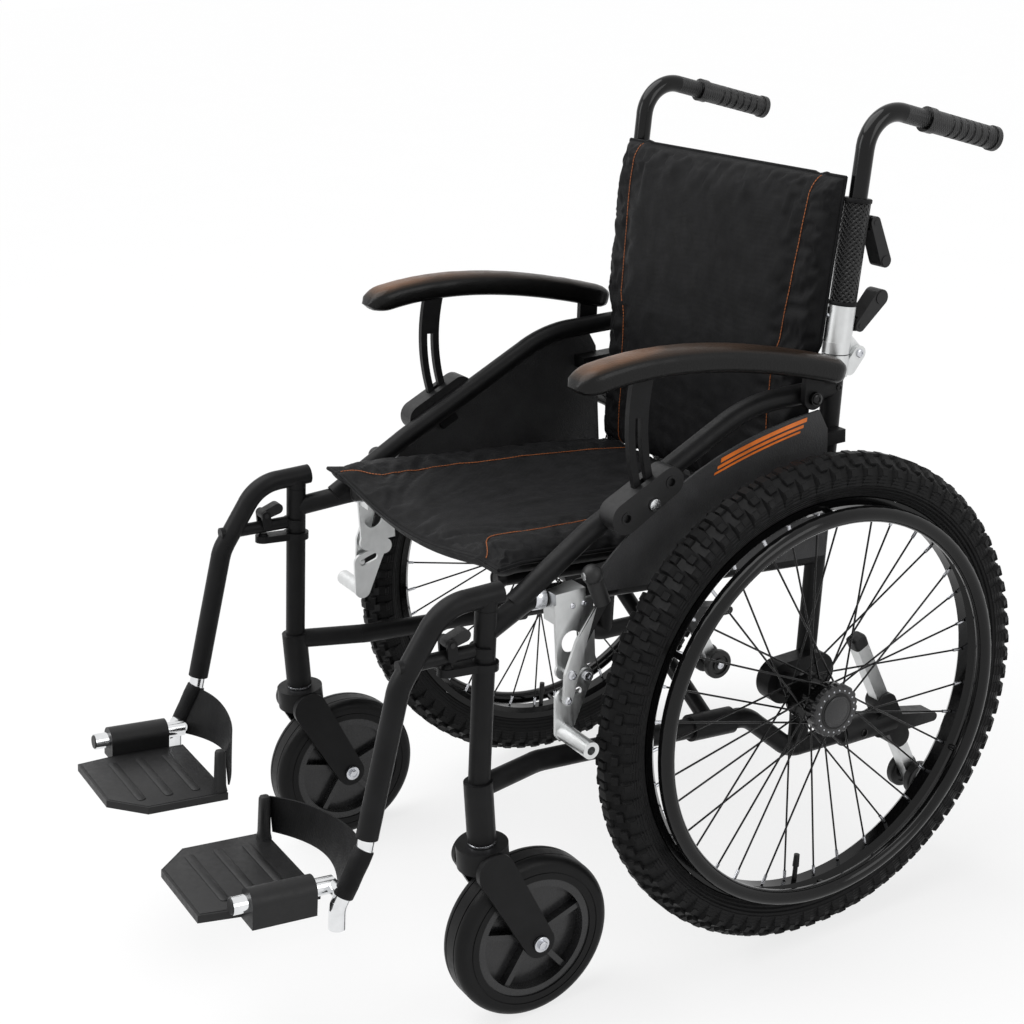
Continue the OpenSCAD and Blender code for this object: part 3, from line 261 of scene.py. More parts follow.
# Tyre rubber, with moulded rings on the sidewall below the tread
RING_PITCH = 0.004
TREAD_FOOT = 0.284  # radius where the tread begins
s = coated("tyre_rubber", 0.0055, 0.42, 0.6, 420, 0.00022, Specular_IOR_Level=0.12)
_, across_y, across_z = s.split(s.place(move=(0, -AXLE_Y / 1000, -WHEEL_R / 1000)))
squares = [s.maths("MULTIPLY", v, v) for v in (across_y, across_z)]
radius = s.maths("SQRT", s.maths("ADD", *squares))
rings = s.maths("SINE", s.maths("MULTIPLY", radius, 2 * math.pi / RING_PITCH))
s.raise_by(s.maths("MULTIPLY", rings, s.maths("LESS_THAN", radius, TREAD_FOOT)), 0.0005, 0.6)

# Leather-grained foam skin, with a painted brown reflection on the faces that point up, most of all at the nose
SHEEN_FROM, SHEEN_TO = -0.05, 0.18  # from the nose to the rear end, along Y
# the skin's own near-black, then the painted brown reflection, weak and strong
PLAIN_SKIN, SHEEN_MID, SHEEN_BRIGHT = (0.0038, 0.0037, 0.0036), (0.034, 0.019, 0.011), (0.15, 0.075, 0.04)
s = keep(Shader("leather_skin", Coat_Weight=0.16, Coat_Roughness=0.2, Specular_IOR_Level=0.12))
cells = s.node("TexVoronoi", {"Scale": 430.0}, feature="F1")
s.join(s.place(), cells.inputs["Vector"])
facing = s.split(s.node("NewGeometry").outputs["Normal"])
forward = s.ranged(s.split(s.place())[1], 1, 0.3, SHEEN_FROM, SHEEN_TO)
sheen_patches = s.maths("MULTIPLY", s.ranged(s.noise(9, 3), 0.45, 1, 0.3, 0.6), forward)
# painted reflection: faces that point up turn brown, in patches, fading from the nose toward the rear
painted_sheen = s.maths("MULTIPLY", s.ranged(facing[2], 0, 1, 0.55, 0.98), sheen_patches)
s.colours(painted_sheen, (0.0, PLAIN_SKIN), (0.55, SHEEN_MID), (1.0, SHEEN_BRIGHT))
s.roughness(s.noise(90, 4), 0.32, 0.46)
s.raise_by(cells.outputs["Distance"], 0.00034, 0.8)
s.raise_by(s.noise(24, 4), 0.0008, 0.4)

# Rubber of the push grips, with a fine knurl
s = coated("grip_rubber", 0.009, 0.3, 0.44, 700, 0.00005, Specular_IOR_Level=0.4)
knurl = [s.bands("X", 140.0, turn=(0, 0, math.radians(lean))) for lean in (45, -45)]
s.raise_by(s.maths("MULTIPLY", *knurl), 0.0006)


# Finishes of the CAD nodes


def dress(node, *materials):
    mesh = nodes[node].data
    mesh.materials.clear()
    for name in materials:
        mesh.materials.append(MATERIALS[name])
    return mesh


def dress_where(node, main, *others):
    """Faces whose centre passes a test take that test's material."""
    mesh = dress(node, main, *[name for name, _ in others])
    for face in mesh.polygons:
        face.material_index = 0
        x, y, z = np.array(face.center) * 1000 - (0, AXLE_Y, 0)
        for k, (_, test) in enumerate(others):
            if test(abs(x), y, z):
                face.material_index = k + 1


# The upper back tube leans back from its foot
CANE_FOOT = (90.67, 703.0)
CANE_TILT = math.radians(9.5)
CANE_LENGTH = 181.5


def along_cane(y, z):
    """Distance behind the upper back tube's axis and along it, of a side-view point."""
    return tilted(y - CANE_FOOT[0], z - CANE_FOOT[1], -CANE_TILT)


def on_cane(sign, x, behind, along):
    """A point set off from the upper back tube's axis."""
    y, z = tilted(behind, along, CANE_TILT)
    return at(sign * (FRAME_X + x), CANE_FOOT[0] + y, CANE_FOOT[1] + z)


# Woven sleeve on the upper back tubes: strands wound both ways round each tube
STRANDS, STRAND_PITCH = 15, 0.0066
s = coated("mesh_sleeve", 0.0075, 0.26, 0.42, 900, 0.00004, Specular_IOR_Level=0.3)
foot_behind, foot_along = tilted(CANE_FOOT[0] + AXLE_Y, CANE_FOOT[1], -CANE_TILT)
to_foot = (0, -foot_behind / 1000, -foot_along / 1000)
beside, behind, along = s.split(s.place(turn=(CANE_TILT, 0, 0), move=to_foot))
turned = s.maths("ARCTAN2", behind, s.maths("SUBTRACT", s.maths("ABSOLUTE", beside), FRAME_X / 1000))
climb = s.maths("MULTIPLY", along, 2 * math.pi / STRAND_PITCH)
wound = [s.maths("SINE", s.maths("ADD", s.maths("MULTIPLY", turned, turns), climb))
         for turns in (STRANDS, -STRANDS)]
s.raise_by(s.maths("MAXIMUM", *wound), 0.0014)

# Bounds of the faces that take a second finish
SLEEVE_FOOT = 58.0  # along the upper back tube
BOSS_SET = 17.0  # the lever's boss begins here, behind the tube's axis and up from its foot
ARM_PIVOT, ARM_BOLT_R = (39.4, 662.0), 12.0
LEVER_GRIP = (250.0, -296.0, 472.0)  # least x, y and z
PUSH_GRIP = (221.0, 900.0)  # least y and z
CATCH_REAR = -380.0  # the leg-rest catch lies in front of this


def in_sleeve(x, y, z):
    behind, along = along_cane(y, z)
    return along > SLEEVE_FOOT and abs(behind) < BOSS_SET


def in_boss(x, y, z):
    behind, along = along_cane(y, z)
    return behind > BOSS_SET and along > BOSS_SET


def in_arm_bolt(x, y, z):
    return math.hypot(y - ARM_PIVOT[0], z - ARM_PIVOT[1]) < ARM_BOLT_R


def in_lever_grip(x, y, z):
    return x > LEVER_GRIP[0] and y > LEVER_GRIP[1] and z > LEVER_GRIP[2]


def in_push_grip(x, y, z):
    return y > PUSH_GRIP[0] and z > PUSH_GRIP[1]


def in_catch(x, y, z):
    return y < CATCH_REAR


# Nodes of each side that have one finish
PLAIN = {
    "powder_coat": "side_frame caster_fork hanger arm_post seat_brace",
    "fine_moulding": "arm_bracket tip_block hanger_latch footplate hinge_lever clamp_lever",
    "gloss_paint": "rim handrim hub_and_spokes",
    "satin_alloy": "brake_arm antitip_strut",
    "bright_chrome": "foot_tube arm_button",
    "grained_guard": "skirt_guard",
    "smooth_plastic": "caster_hub",
    "soft_rubber": "antitip_wheels",
    "caster_rubber": "caster_tyre",
    "tyre_rubber": "tyre",
    "leather_skin": "arm_pad",
    "webbing": "heel_strap",
}
for side, _ in SIDES:
    for material, names in PLAIN.items():
        for name in names.split():
            dress(f"{side}_{name}", material)
    dress_where(f"{side}_brake_lever", "satin_alloy", ("soft_rubber", in_lever_grip))
    dress_where(f"{side}_push_handle", "gloss_paint", ("grip_rubber", in_push_grip))
    dress_where(f"{side}_back_cane", "satin_alloy", ("mesh_sleeve", in_sleeve), ("fine_moulding", in_boss))
    dress_where(f"{side}_frame_fittings", "satin_alloy", ("powder_coat", in_catch), ("gloss_paint", in_arm_bolt))
dress("seat_pad", "black_nylon")
dress("back_pad", "black_nylon")


# Building pieces


def piece(name, verts, faces, material, sharp=38):
    """A mesh object with coincident points joined, faces turned outward and steep edges kept sharp."""
    mesh = bpy.data.meshes.new(name)
    mesh.from_pydata([tuple(v) for v in verts], [], [tuple(f) for f in faces])
    shape = bmesh.new()
    shape.from_mesh(mesh)
    bmesh.ops.remove_doubles(shape, verts=shape.verts, dist=1e-6)
    bmesh.ops.recalc_face_normals(shape, faces=shape.faces)
    shape.to_mesh(mesh)
    shape.free()
    mesh.materials.append(MATERIALS[material])
    for face in mesh.polygons:
        face.use_smooth = True
    mesh.set_sharp_from_angle(angle=math.radians(sharp))
    made = bpy.data.objects.new(name, mesh)
    bpy.context.scene.collection.objects.link(made)
    return made


ASKEW = (0.31, 0.57, 0.76)  # a direction that no axis below runs along
# Domed socket-head screw: shares of its radius and of its height
SCREW = ((1, -1), (1, 0.45), (0.86, 0.85), (0.55, 1), (0.5, 1), (0.46, 0.45), (0.05, 0.45))


def circle(centre, axis, radius, around):
    axis = np.asarray(axis, float) / np.linalg.norm(axis)
    side = np.cross(axis, ASKEW)
    side /= np.linalg.norm(side)
    up = np.cross(axis, side)
    turn = full_turn(around)
    return centre + radius * (np.cos(turn)[:, None] * side + np.sin(turn)[:, None] * up)


class Bits:
    """Gathers many small closed forms into one piece."""

    def __init__(self):
        self.verts, self.faces = [], []

    def loft(self, rings, loop=False):
        """Skin over rings of points; open runs are capped."""
        base, count, around = len(self.verts), len(rings), len(rings[0])
        self.verts += [tuple(p) for ring in rings for p in ring]
        for i in range(count if loop else count - 1):
            here, ahead = base + i * around, base + (i + 1) % count * around
            for k in range(around):
                j = (k + 1) % around
                self.faces.append((here + k, here + j, ahead + j, ahead + k))
        if not loop:
            last = base + (count - 1) * around
            self.faces += [tuple(range(base, base + around)), tuple(range(last, last + around))]
        return self

    def tube(self, points, radius, around=8, loop=False):
        """Round tube along points, with one radius or one for each point."""
        points = np.asarray(points, float)
        ahead = np.roll(points, -1, 0) - np.roll(points, 1, 0)
        if not loop:
            ahead[0], ahead[-1] = points[1] - points[0], points[-1] - points[-2]
        radii = np.broadcast_to(radius, len(points))
        return self.loft([circle(p, t, r, around) for p, t, r in zip(points, ahead, radii)], loop)

    def turned(self, foot, axis, profile, around=24):
        """Profile of (radius, height) pairs in millimetres, turned about an axis from foot."""
        axis = np.asarray(axis, float) / np.linalg.norm(axis)
        return self.loft([circle(foot + axis * h / 1000, axis, r / 1000, around) for r, h in profile])

    def screw(self, foot, axis, radius, height=1.6):
        return self.turned(foot, axis, [(radius * r, height * h) for r, h in SCREW], 20)

    def make(self, name, material):
        return piece(name, self.verts, self.faces, material)


def curve(a, b, c, t):
    """A point on the bow from a to c that leans toward b."""
    a, b, c = (np.asarray(p, float) for p in (a, b, c))
    return (a + (b - a) * t) * (1 - t) + (b + (c - b) * t) * t


# Cushions: a grid over each face, puckered by a cloth run, closed over a flatter rear face

SEAM_COLUMN = 0.66  # grid column of the sewn lines, from -1 to 1
FRACTAL = (0.9, 2.1, 3)  # falloff, spacing and number of the layers of a ripple


def spread(n, ends=0.55):
    """Values from -1 to 1, closer together at the ends."""
    t = np.linspace(-1, 1, n)
    return (1 - ends) * t + ends * np.sin(t * math.pi / 2)


def across(t, seam):
    """Share of the half width for a grid column, with one column on the sewn line."""
    if abs(t) <= SEAM_COLUMN:
        return t / SEAM_COLUMN * seam
    return math.copysign(seam + (abs(t) - SEAM_COLUMN) / (1 - SEAM_COLUMN) * (1 - seam), t)


def columns(n):
    """Grid columns, even between the two sewn lines and closer toward the rim, and those lines' own."""
    inner = np.linspace(-SEAM_COLUMN, SEAM_COLUMN, n)
    outer = SEAM_COLUMN + (1 - SEAM_COLUMN) * (1 - (1 - np.linspace(0, 1, n // 3)[1:]) ** 1.5)
    return np.concatenate((-outer[::-1], inner, outer)), (len(outer), len(outer) + n - 1)


def ripple(x, y, size, stretch=(1, 1), seed=0.0):
    """Smooth random folds; size is their spacing and stretch shortens it each way."""
    where = Vector((x * stretch[0] / size + seed, y * stretch[1] / size - seed, seed))
    return noise.fractal(where, *FRACTAL)


def edge_roll(room, reach):
    """Falls from 1 to 0 as a rounded edge, over the last stretch of room."""
    t = max(0.0, 1 - room / reach)
    return math.sqrt(max(0.0, 1 - t * t))


def near(value, centre, width):
    """Falls from 1 at the centre to about a third one width away."""
    return math.exp(-(((value - centre) / width) ** 2))


def grid_faces(n, m):
    """Point numbers of an n by m grid, and its four-sided faces."""
    grid = np.arange(n * m).reshape(n, m)
    corners = (grid[:-1, :-1], grid[1:, :-1], grid[1:, 1:], grid[:-1, 1:])
    return grid, np.stack(corners, -1).reshape(-1, 4)


STEPS = 20
CLOTH_CAP = 0.0035  # no point moves farther than this in the cloth run


def puckered(face, held):
    """Cloth run on one face: spare cloth and a little pressure wrinkle it between the held points."""
    _, quads = grid_faces(*held.shape)
    mesh = bpy.data.meshes.new("cloth")
    mesh.from_pydata(face.reshape(-1, 3).tolist(), [], quads.tolist())
    sheet = bpy.data.objects.new("cloth", mesh)
    scene = bpy.context.scene
    scene.collection.objects.link(sheet)
    pins = sheet.vertex_groups.new(name="held")
    for k, weight in enumerate(held.ravel()):
        pins.add([k], float(weight), "REPLACE")
    cloth_run = sheet.modifiers.new("cloth", "CLOTH")
    rules = cloth_run.settings
    rules.quality = 6
    rules.mass = 0.15
    rules.tension_stiffness = rules.compression_stiffness = 20
    rules.shear_stiffness = 8
    rules.bending_stiffness = 0.05
    rules.vertex_group_mass = "held"
    rules.pin_stiffness = 0.6
    rules.shrink_min = -0.035
    rules.use_pressure = True
    rules.uniform_pressure_force = 4
    rules.effector_weights.gravity = 0
    for step in range(1, STEPS + 1):
        scene.frame_set(step)
    settled = sheet.evaluated_get(bpy.context.evaluated_depsgraph_get()).data
    moved = np.array([v.co for v in settled.vertices])
    bpy.data.objects.remove(sheet)
    scene.frame_set(1)
    shift = moved - face.reshape(-1, 3)
    length = np.maximum(np.linalg.norm(shift, axis=1, keepdims=True), 1e-9)
    shift *= CLOTH_CAP * np.tanh(length / CLOTH_CAP) / length
    return face + shift.reshape(face.shape)


def finer(grid):
    """Twice the points each way, on smooth curves through the old ones."""
    for axis in (0, 1):
        rows = np.moveaxis(grid, axis, 0)
        padded = np.concatenate((2 * rows[:1] - rows[1:2], rows, 2 * rows[-1:] - rows[-2:-1]))
        middle = (9 * (padded[1:-2] + padded[2:-1]) - padded[:-3] - padded[3:]) / 16
        dense = np.empty((2 * len(rows) - 1, *rows.shape[1:]))
        dense[::2], dense[1::2] = rows, middle
        grid = np.moveaxis(dense, 0, axis)
    return grid


def rim_of(grid):
    """The points round a grid's edge, in order."""
    return np.concatenate((grid[:-1, 0], grid[-1, :-1], grid[:0:-1, -1], grid[0, :0:-1]))


def cushion(name, face, rear):
    """Closed pillow from two grids, joined round their rims."""
    grid, quads = grid_faces(*face.shape[:2])
    rim = rim_of(grid)
    walls = np.stack((rim, np.roll(rim, -1), np.roll(rim, -1) + grid.size, rim + grid.size), -1)
    faces = np.concatenate((quads, quads[:, ::-1] + grid.size, walls))
    points = np.concatenate((face.reshape(-1, 3), rear.reshape(-1, 3)))
    return piece(name, points, faces.tolist(), "black_nylon", sharp=62)


STITCH, STITCH_PITCH, STITCH_R, STITCH_LIFT = 0.0034, 0.0044, 0.0006, 1.3


def stitches(bits, line, outward):
    """Short threads along a sewn line."""
    run = np.concatenate(((0,), np.cumsum(np.linalg.norm(np.diff(line, axis=0), axis=1))))
    for start in np.arange(STITCH_PITCH, run[-1] - STITCH_PITCH, STITCH_PITCH):
        where = np.linspace(start, start + STITCH, 4)
        thread = np.stack([np.interp(where, run, line[:, k]) for k in range(3)], -1)
        bits.tube(thread + np.asarray(outward) * STITCH_R * STITCH_LIFT, STITCH_R, 6)


# Seat, in the frame of its rails, which lean back about the height of the lower rail
SEAT_PIVOT = (-112.58, 271.88)
SEAT_LOW = 221.4
SEAT_FRONT, SEAT_BACK = -290.0, 135.0
SEAT_HALF = 212.0
SEAT_THICK, SEAT_EDGE, SEAT_CROWN = 22.0, 16.0, 12.0
SEAT_SAG, SAG_HALF = 20.0, 0.8  # its depth, and its reach as a share of the half width
SEAT_ROLL = (16.0, 22.0, 14.0)  # reach of the rounded edge at the sides, the front and the rear
SEAT_WAIST = 4.0  # how far the sides are drawn in halfway along
SEAT_HORN, HORN_FROM, HORN_RUN = 11.0, -0.84, 0.16  # how far the front corners spread, and where
SEAT_SEAM, SEAM_FLARE, FLARE_FROM, FLARE_RUN = 0.655, 0.2, -0.80, 0.2
SEAT_SEWN, SEWN_WIDTH = 1.4, 0.04  # depth of the sewn groove, and its width as a share
FAN_FROM = (20.0, -330.0)  # the spot in front of the seat that its creases spread from


def seat_frame(x, y, z):
    """A point of the seat, from the middle of the lower rail and along the seat rails."""
    y, z = tilted(y, z, FRAME_TILT)
    return at(x, SEAT_PIVOT[0] + y, SEAT_PIVOT[1] + z)


def seat_seam(v):
    """Share of the half width where the sewn line runs, turning out at the front corners."""
    return SEAT_SEAM + SEAM_FLARE * smooth((FLARE_FROM - v) / FLARE_RUN) ** 1.5


def seat_creases(x, y, u, v):
    """Creases that fan out from the front, broad unevenness, and tucks along the sides."""
    angle = math.atan2(x - FAN_FROM[0], y - FAN_FROM[1])
    away = math.hypot(x - FAN_FROM[0], y - FAN_FROM[1])
    fan = 4.2 * ripple(angle * 160, away * 0.12, size=26, seed=2.3) * smooth((away - 60) / 120)
    broad = 1.6 * ripple(x, y, size=120, stretch=(1.4, 0.8), seed=3.1)
    tucks = 0.8 * near(abs(u), 0.9, 0.08) * ripple(x, y, size=24, stretch=(0.5, 1.4), seed=8.0)
    return fan * (1 - 0.5 * smooth(v)) * (1 - u * u) + broad + tucks


def seat_point(t, v, upper):
    """A point of the seat's upper or lower face: t runs across it and v from front to rear."""
    u = across(t, seat_seam(v))
    y = SEAT_FRONT + (SEAT_BACK - SEAT_FRONT) * (v + 1) / 2
    horn = SEAT_HORN * max(0.0, (HORN_FROM - v) / HORN_RUN)
    x = u * (SEAT_HALF + horn - SEAT_WAIST * (1 - v * v))
    rooms = (SEAT_HALF * (1 - abs(u)), y - SEAT_FRONT, SEAT_BACK - y)
    full = math.prod(map(edge_roll, rooms, SEAT_ROLL))
    sag = SEAT_SAG * max(0.0, 1 - (u / SAG_HALF) ** 2) ** 1.3 * (0.65 - 0.35 * v)
    z = SEAT_LOW + SEAT_EDGE - sag
    if not upper:
        return seat_frame(x, y, z - SEAT_EDGE * full)
    crown = SEAT_CROWN * max(0.0, (1 - u**4) * (1 - v**4)) ** 0.5
    sewn = SEAT_SEWN * near(abs(u), seat_seam(v), SEWN_WIDTH)
    thick = SEAT_THICK - SEAT_EDGE + crown - sewn + seat_creases(x, y, u, v)
    return seat_frame(x, y, z + thick * full)


def held_points(n, m, seams, loose=0.06, beside=0.6):
    """Pins: the rim and the sewn lines hold, the rest leans on its filling."""
    held = np.full((n, m), loose)
    held[:2], held[-2:], held[:, :2], held[:, -2:] = 1, 1, 1, 1
    for seam in seams:
        held[seam - 1:seam + 2] = beside
        held[seam] = 1
    return held


BINDING_R, PIPING_R = 0.0024, 0.002
ts, seams = columns(43)


def two_faces(point, rows):
    """The puckered front and the plain rear of a cushion, as fine grids."""
    front, rear = (np.array([[point(t, v, outer) for v in rows] for t in ts]) for outer in (True, False))
    return finer(puckered(front, held_points(len(ts), len(rows), seams))), finer(rear)


seat_up = np.array((0, math.sin(FRAME_TILT), math.cos(FRAME_TILT)))
seat_face, seat_rear = two_faces(seat_point, spread(67))
seat = cushion("seat_cushion", seat_face, seat_rear)
threads = Bits()
for seam in seams:
    stitches(threads, seat_face[2 * seam], seat_up)
stitching = threads.make("seat_stitching", "orange_thread")
binding = Bits().tube(rim_of(seat_face), BINDING_R, loop=True).make("seat_binding", "black_nylon")
for part in (seat, stitching, binding):
    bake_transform(part)
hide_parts("seat_pad")

# Back: four panels, which meet at the half-fold hinge and in the middle, where the sling folds back
BACK_LOW, BACK_TOP, BACK_SPLIT = 503.0, 907.0, 702.0
BACK_THICK, BACK_EDGE, BACK_CROWN = 20.0, 4.0, 10.0
BACK_HALF, BACK_WAIST = 210.0, 3.0  # half width beside the arch, drawn in halfway up
BACK_FLARE, FLARE_Z, FLARE_RISE = 12.0, 687.0, 30.0  # how much wider it gets over the arch
BACK_ROLL = (15.0, 24.0, 15.0)  # reach of the rounded edge at the sides, the top and the foot
BACK_SEWN = 1.6
BACK_OFF = 15.8  # rear face in front of the back tube's axis
HINGE_Z = CANE_FOOT[1]
POST_SET = 49.0  # back tube behind the axle, at the axle's height


def back_seam(z):
    """Share of the half width where the sewn line runs, a little wider at the top."""
    return 0.77 + 0.06 * smooth((z - 640) / 260)


def back_creases(x, z, u):
    """Broad unevenness, slack cloth low down, tucks along the sides and a wavy hem."""
    broad = 1.7 * ripple(x, z, size=120, stretch=(1.3, 0.9), seed=1.3)
    slack = 2.0 * ripple(x + z * 0.5, z, size=46, stretch=(0.9, 1.5), seed=7.7)
    slack = slack * near(z, 590, 110) * (1 - u * u)
    tucks = 0.8 * near(abs(u), 0.92, 0.1) * ripple(x, z, size=28, stretch=(0.5, 1.4), seed=4.2)
    hem = 1.8 * near(z, BACK_TOP - 26, 26) * ripple(x, z, size=34, stretch=(1.3, 0.4), seed=9.1)
    return broad + slack + tucks + hem


def back_point(t, z, front):
    """A point of the back's front or rear face: t runs across it."""
    u = across(t, back_seam(z))
    v = (z - BACK_LOW) / (BACK_TOP - BACK_LOW) * 2 - 1
    half = BACK_HALF + BACK_FLARE * smooth((z - FLARE_Z) / FLARE_RISE) - BACK_WAIST * (1 - v * v)
    full = math.prod(map(edge_roll, (half * (1 - abs(u)), BACK_TOP - z, z - BACK_LOW), BACK_ROLL))
    lean = max(0.0, z - HINGE_Z) * math.tan(CANE_TILT)
    post = POST_SET + (min(z, HINGE_Z) - WHEEL_R) * math.tan(FRAME_TILT) + lean
    y = post - BACK_OFF - BACK_EDGE
    if not front:
        return at(u * half, y + BACK_EDGE * full, z)
    crown = BACK_CROWN * max(0.0, (1 - u**4) * (1 - v**4)) ** 0.5
    sewn = BACK_SEWN * near(abs(u), back_seam(z), SEWN_WIDTH)
    thick = BACK_THICK - BACK_EDGE + crown - sewn + back_creases(u * half, z, u)
    return at(u * half, y - thick * full, z)


zs = BACK_LOW + (BACK_TOP - BACK_LOW) * (spread(63) + 1) / 2
split = int(np.argmin(np.abs(zs - BACK_SPLIT)))
zs[split] = BACK_SPLIT
back_face, back_rear = two_faces(back_point, zs)
# Rows from the outer hem to the hinge, columns from the outer side to the middle
LEVELS = (("upper", "back_cane", slice(None, 2 * split - 1, -1)),
          ("lower", "frame", slice(None, 2 * split + 1)))
HALVES = {"right": slice(None, len(ts)), "left": slice(None, len(ts) - 2, -1)}
for side, sign in SIDES:
    for level, body, rows in LEVELS:
        face, rear = back_face[HALVES[side], rows], back_rear[HALVES[side], rows]
        panel = cushion(f"{side}_back_cushion_{level}", face, rear)
        threads = Bits()
        stitches(threads, face[2 * seams[0]], (0, -1, 0))
        piping = Bits().tube(np.concatenate((face[0, ::-1], face[1:, 0])), PIPING_R)
        for part in (panel, threads.make(f"{side}_back_stitching_{level}", "orange_thread"),
                     piping.make(f"{side}_back_piping_{level}", "black_nylon")):
            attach(part, f"{side}_{body}")
            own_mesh(part)
        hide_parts("back_pad")

# Heel straps: a wide band from its wrap on the foot tube round behind the heel to the post on the plate
STRAP_STEPS, STRAP_ROWS, STRAP_THICK, STRAP_GAP = 36, 10, 2.0, 0.4
STRAP_CURVE = (242.1, -592.0), (155.5, -552.0), (69.0, -609.5)
STRAP_FOOT, STRAP_WIDE, STRAP_TAPER, STRAP_DIP = 220.0, 52.0, 6.0, 2.0
STRAP_TWIST, STRAP_BOW = 1.6, 4.8
STRAP_MID, FOOT_LEAN = (-592.0, 246.0), 0.62  # the foot tube at the strap, and its run for each rise
# Rise along the foot tube, and radius, of the wrap
WRAP = ((-20, 10.6), (-19, 11.4), (-8, 11.8), (4, 11.5), (16, 11.9), (27, 11.4), (28, 10.6))


def strap_point(sign, p, normal, t, w, layer):
    """A point of the band: t runs along it from p on its line, w up it, and layer through it."""
    twist = STRAP_TWIST * math.sin(2.6 * math.pi * t + 0.8) * (w - 0.4)
    bow = STRAP_BOW * math.sin(math.pi * t) * (w - 0.5)
    q = p + normal * (twist + bow + layer + STRAP_GAP)
    z = STRAP_FOOT + (STRAP_WIDE - STRAP_TAPER * t) * w + STRAP_DIP * math.sin(math.pi * t) * (1 - w)
    lean = FOOT_LEAN * (z - STRAP_MID[1]) * (1 - t) ** 2
    return at(sign * q[0], q[1] + lean, z)


for side, sign in SIDES:
    line = [curve(*STRAP_CURVE, t) for t in np.linspace(0, 1, STRAP_STEPS + 1)]
    rings = []
    for i, p in enumerate(line):
        ahead = line[min(i + 1, STRAP_STEPS)] - line[max(i - 1, 0)]
        normal = np.array((-ahead[1], ahead[0])) / np.linalg.norm(ahead)
        normal *= math.copysign(1, normal[1])
        inner, outer = ([strap_point(sign, p, normal, i / STRAP_STEPS, w, layer)
                         for w in np.linspace(0, 1, STRAP_ROWS + 1)] for layer in (0, STRAP_THICK))
        rings.append(inner + outer[::-1])
    strap = Bits().loft(rings).make(f"{side}_heel_band", "webbing")
    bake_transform(strap)
    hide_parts(f"{side}_heel_strap")
    centres = [at(sign * FRONT_X, STRAP_MID[0] + FOOT_LEAN * rise, STRAP_MID[1] + rise) for rise, _ in WRAP]
    wrap = Bits().tube(centres, [r / 1000 for _, r in WRAP], 32).make(f"{side}_heel_wrap", "webbing")
    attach(wrap, f"{side}_hanger")

# Arm pads: foam skin swept along the pad's bow
PAD_BOW = (69.4, 691.0), (-157.5, 769.0), (-296.6, 734.0)
PAD_END = 0.935  # share of the bow that the pad covers
PAD_STEPS, PAD_AROUND, PAD_HALF_W, PAD_HALF_T = 64, 40, 22.6, 15.3
NOSE_AT, NOSE_REACH = 0.965, 15.0  # from here the pad runs straight on, this far
NOSE_FROM, NOSE_RUN, HEEL_RUN = 0.9, 0.1, 0.03  # steps over which the ends round off
TOP_POWER, FOOT_POWER = 2 / 2.7, 2 / 3.4  # section: rounder on top than below
for side, sign in SIDES:
    rings = []
    for step in np.linspace(0, 1, PAD_STEPS + 1):
        t = PAD_END * min(1.0, step / NOSE_AT)
        ahead = curve(*PAD_BOW, t + 0.01) - curve(*PAD_BOW, t - 0.01)
        ahead /= np.linalg.norm(ahead)
        p = curve(*PAD_BOW, t) + ahead * NOSE_REACH * max(0.0, step - NOSE_AT) / (1 - NOSE_AT)
        nose = max(0.0, (step - NOSE_FROM) / NOSE_RUN)
        heel = max(0.0, (HEEL_RUN - step) / HEEL_RUN)
        shape = math.sqrt(max(0.0, 1 - nose**2.6)) * math.sqrt(1 - heel**2 * 0.4)
        up = np.array((ahead[1], -ahead[0]))
        ring = []
        for a in full_turn(PAD_AROUND):
            c, d = math.cos(a), math.sin(a)
            power = FOOT_POWER if d < 0 else TOP_POWER
            wide = squarer(c, power) * PAD_HALF_W * (0.35 + 0.65 * shape if nose else shape)
            q = p + up * squarer(d, power) * PAD_HALF_T * shape
            dimple = 0.35 * ripple(wide + q[1], q[0], 22, seed=sign * 2.0)
            ring.append(at(sign * (FRONT_X + wide * (1 + dimple / 40)), q[0], q[1] + dimple * (d > 0)))
        rings.append(ring)
    bits = Bits().loft(rings)
    pad = piece(f"{side}_arm_cushion", bits.verts, bits.faces, "leather_skin", sharp=70)
    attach(pad, f"{side}_armrest")
    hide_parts(f"{side}_arm_pad")

# Wheels


def wheel_ring(sign, r, turn, x):
    """A point at a radius and an angle round the rear axle."""
    return at(sign * x, r * math.cos(turn), WHEEL_R + r * math.sin(turn))


TYRE_RING = 277.3  # radius of the tyre's own section centre
TYRE_SECTION = 25.5
KNOBS = 76
# Rows of blocks on the tread: middle in the knob pitch, half length, section angles, height
OUTER_ROWS = ((0.7, 4.6, 58, 76, 4.7), (0.32, 5.4, 30, 48, 4.5))
INNER_ROWS = ((0.2, 4.6, 58, 76, 4.7), (0.82, 5.4, 30, 48, 4.5))
CROWN_ROW = (0.72, 4.6, -11, 11, 3.6)
SPOKES, SPOKE_CROSS = 36, 62
FLANGE_R, FLANGE_SET, ELBOW_SET = 25, 18, 1.7  # inner ends of the spokes
RIM_R, RIM_SET = 248, 2.4  # and their outer ends
NIPPLE_ENDS, NIPPLE_R = (0.021, 0.009), 0.0021
VALVE_TURN = math.radians(-97)
VALVE = ((240, 0.0032), (222, 0.003), (221.9, 0.0042), (206, 0.0036))
# Hub cap: x, radius and depth of the scallops for each ring, then the profile of the disc
HUB_LOBES, LOBE_POINTS = 20, 8
HUB_RINGS = ((337.0, 33.2, 1.8), (343.5, 33.2, 1.8), (345.2, 31.2, 1.7), (345.4, 23.2, 0))
HUB_DISC = ((19.5, -2), (19.5, 1.2), (18.5, 2), (16.8, 2), (16, 1.3), (12, 1.9), (6, 2.2), (0.2, 2.3))
RIVET_RING, RIVET_X = 26.5, 345.2


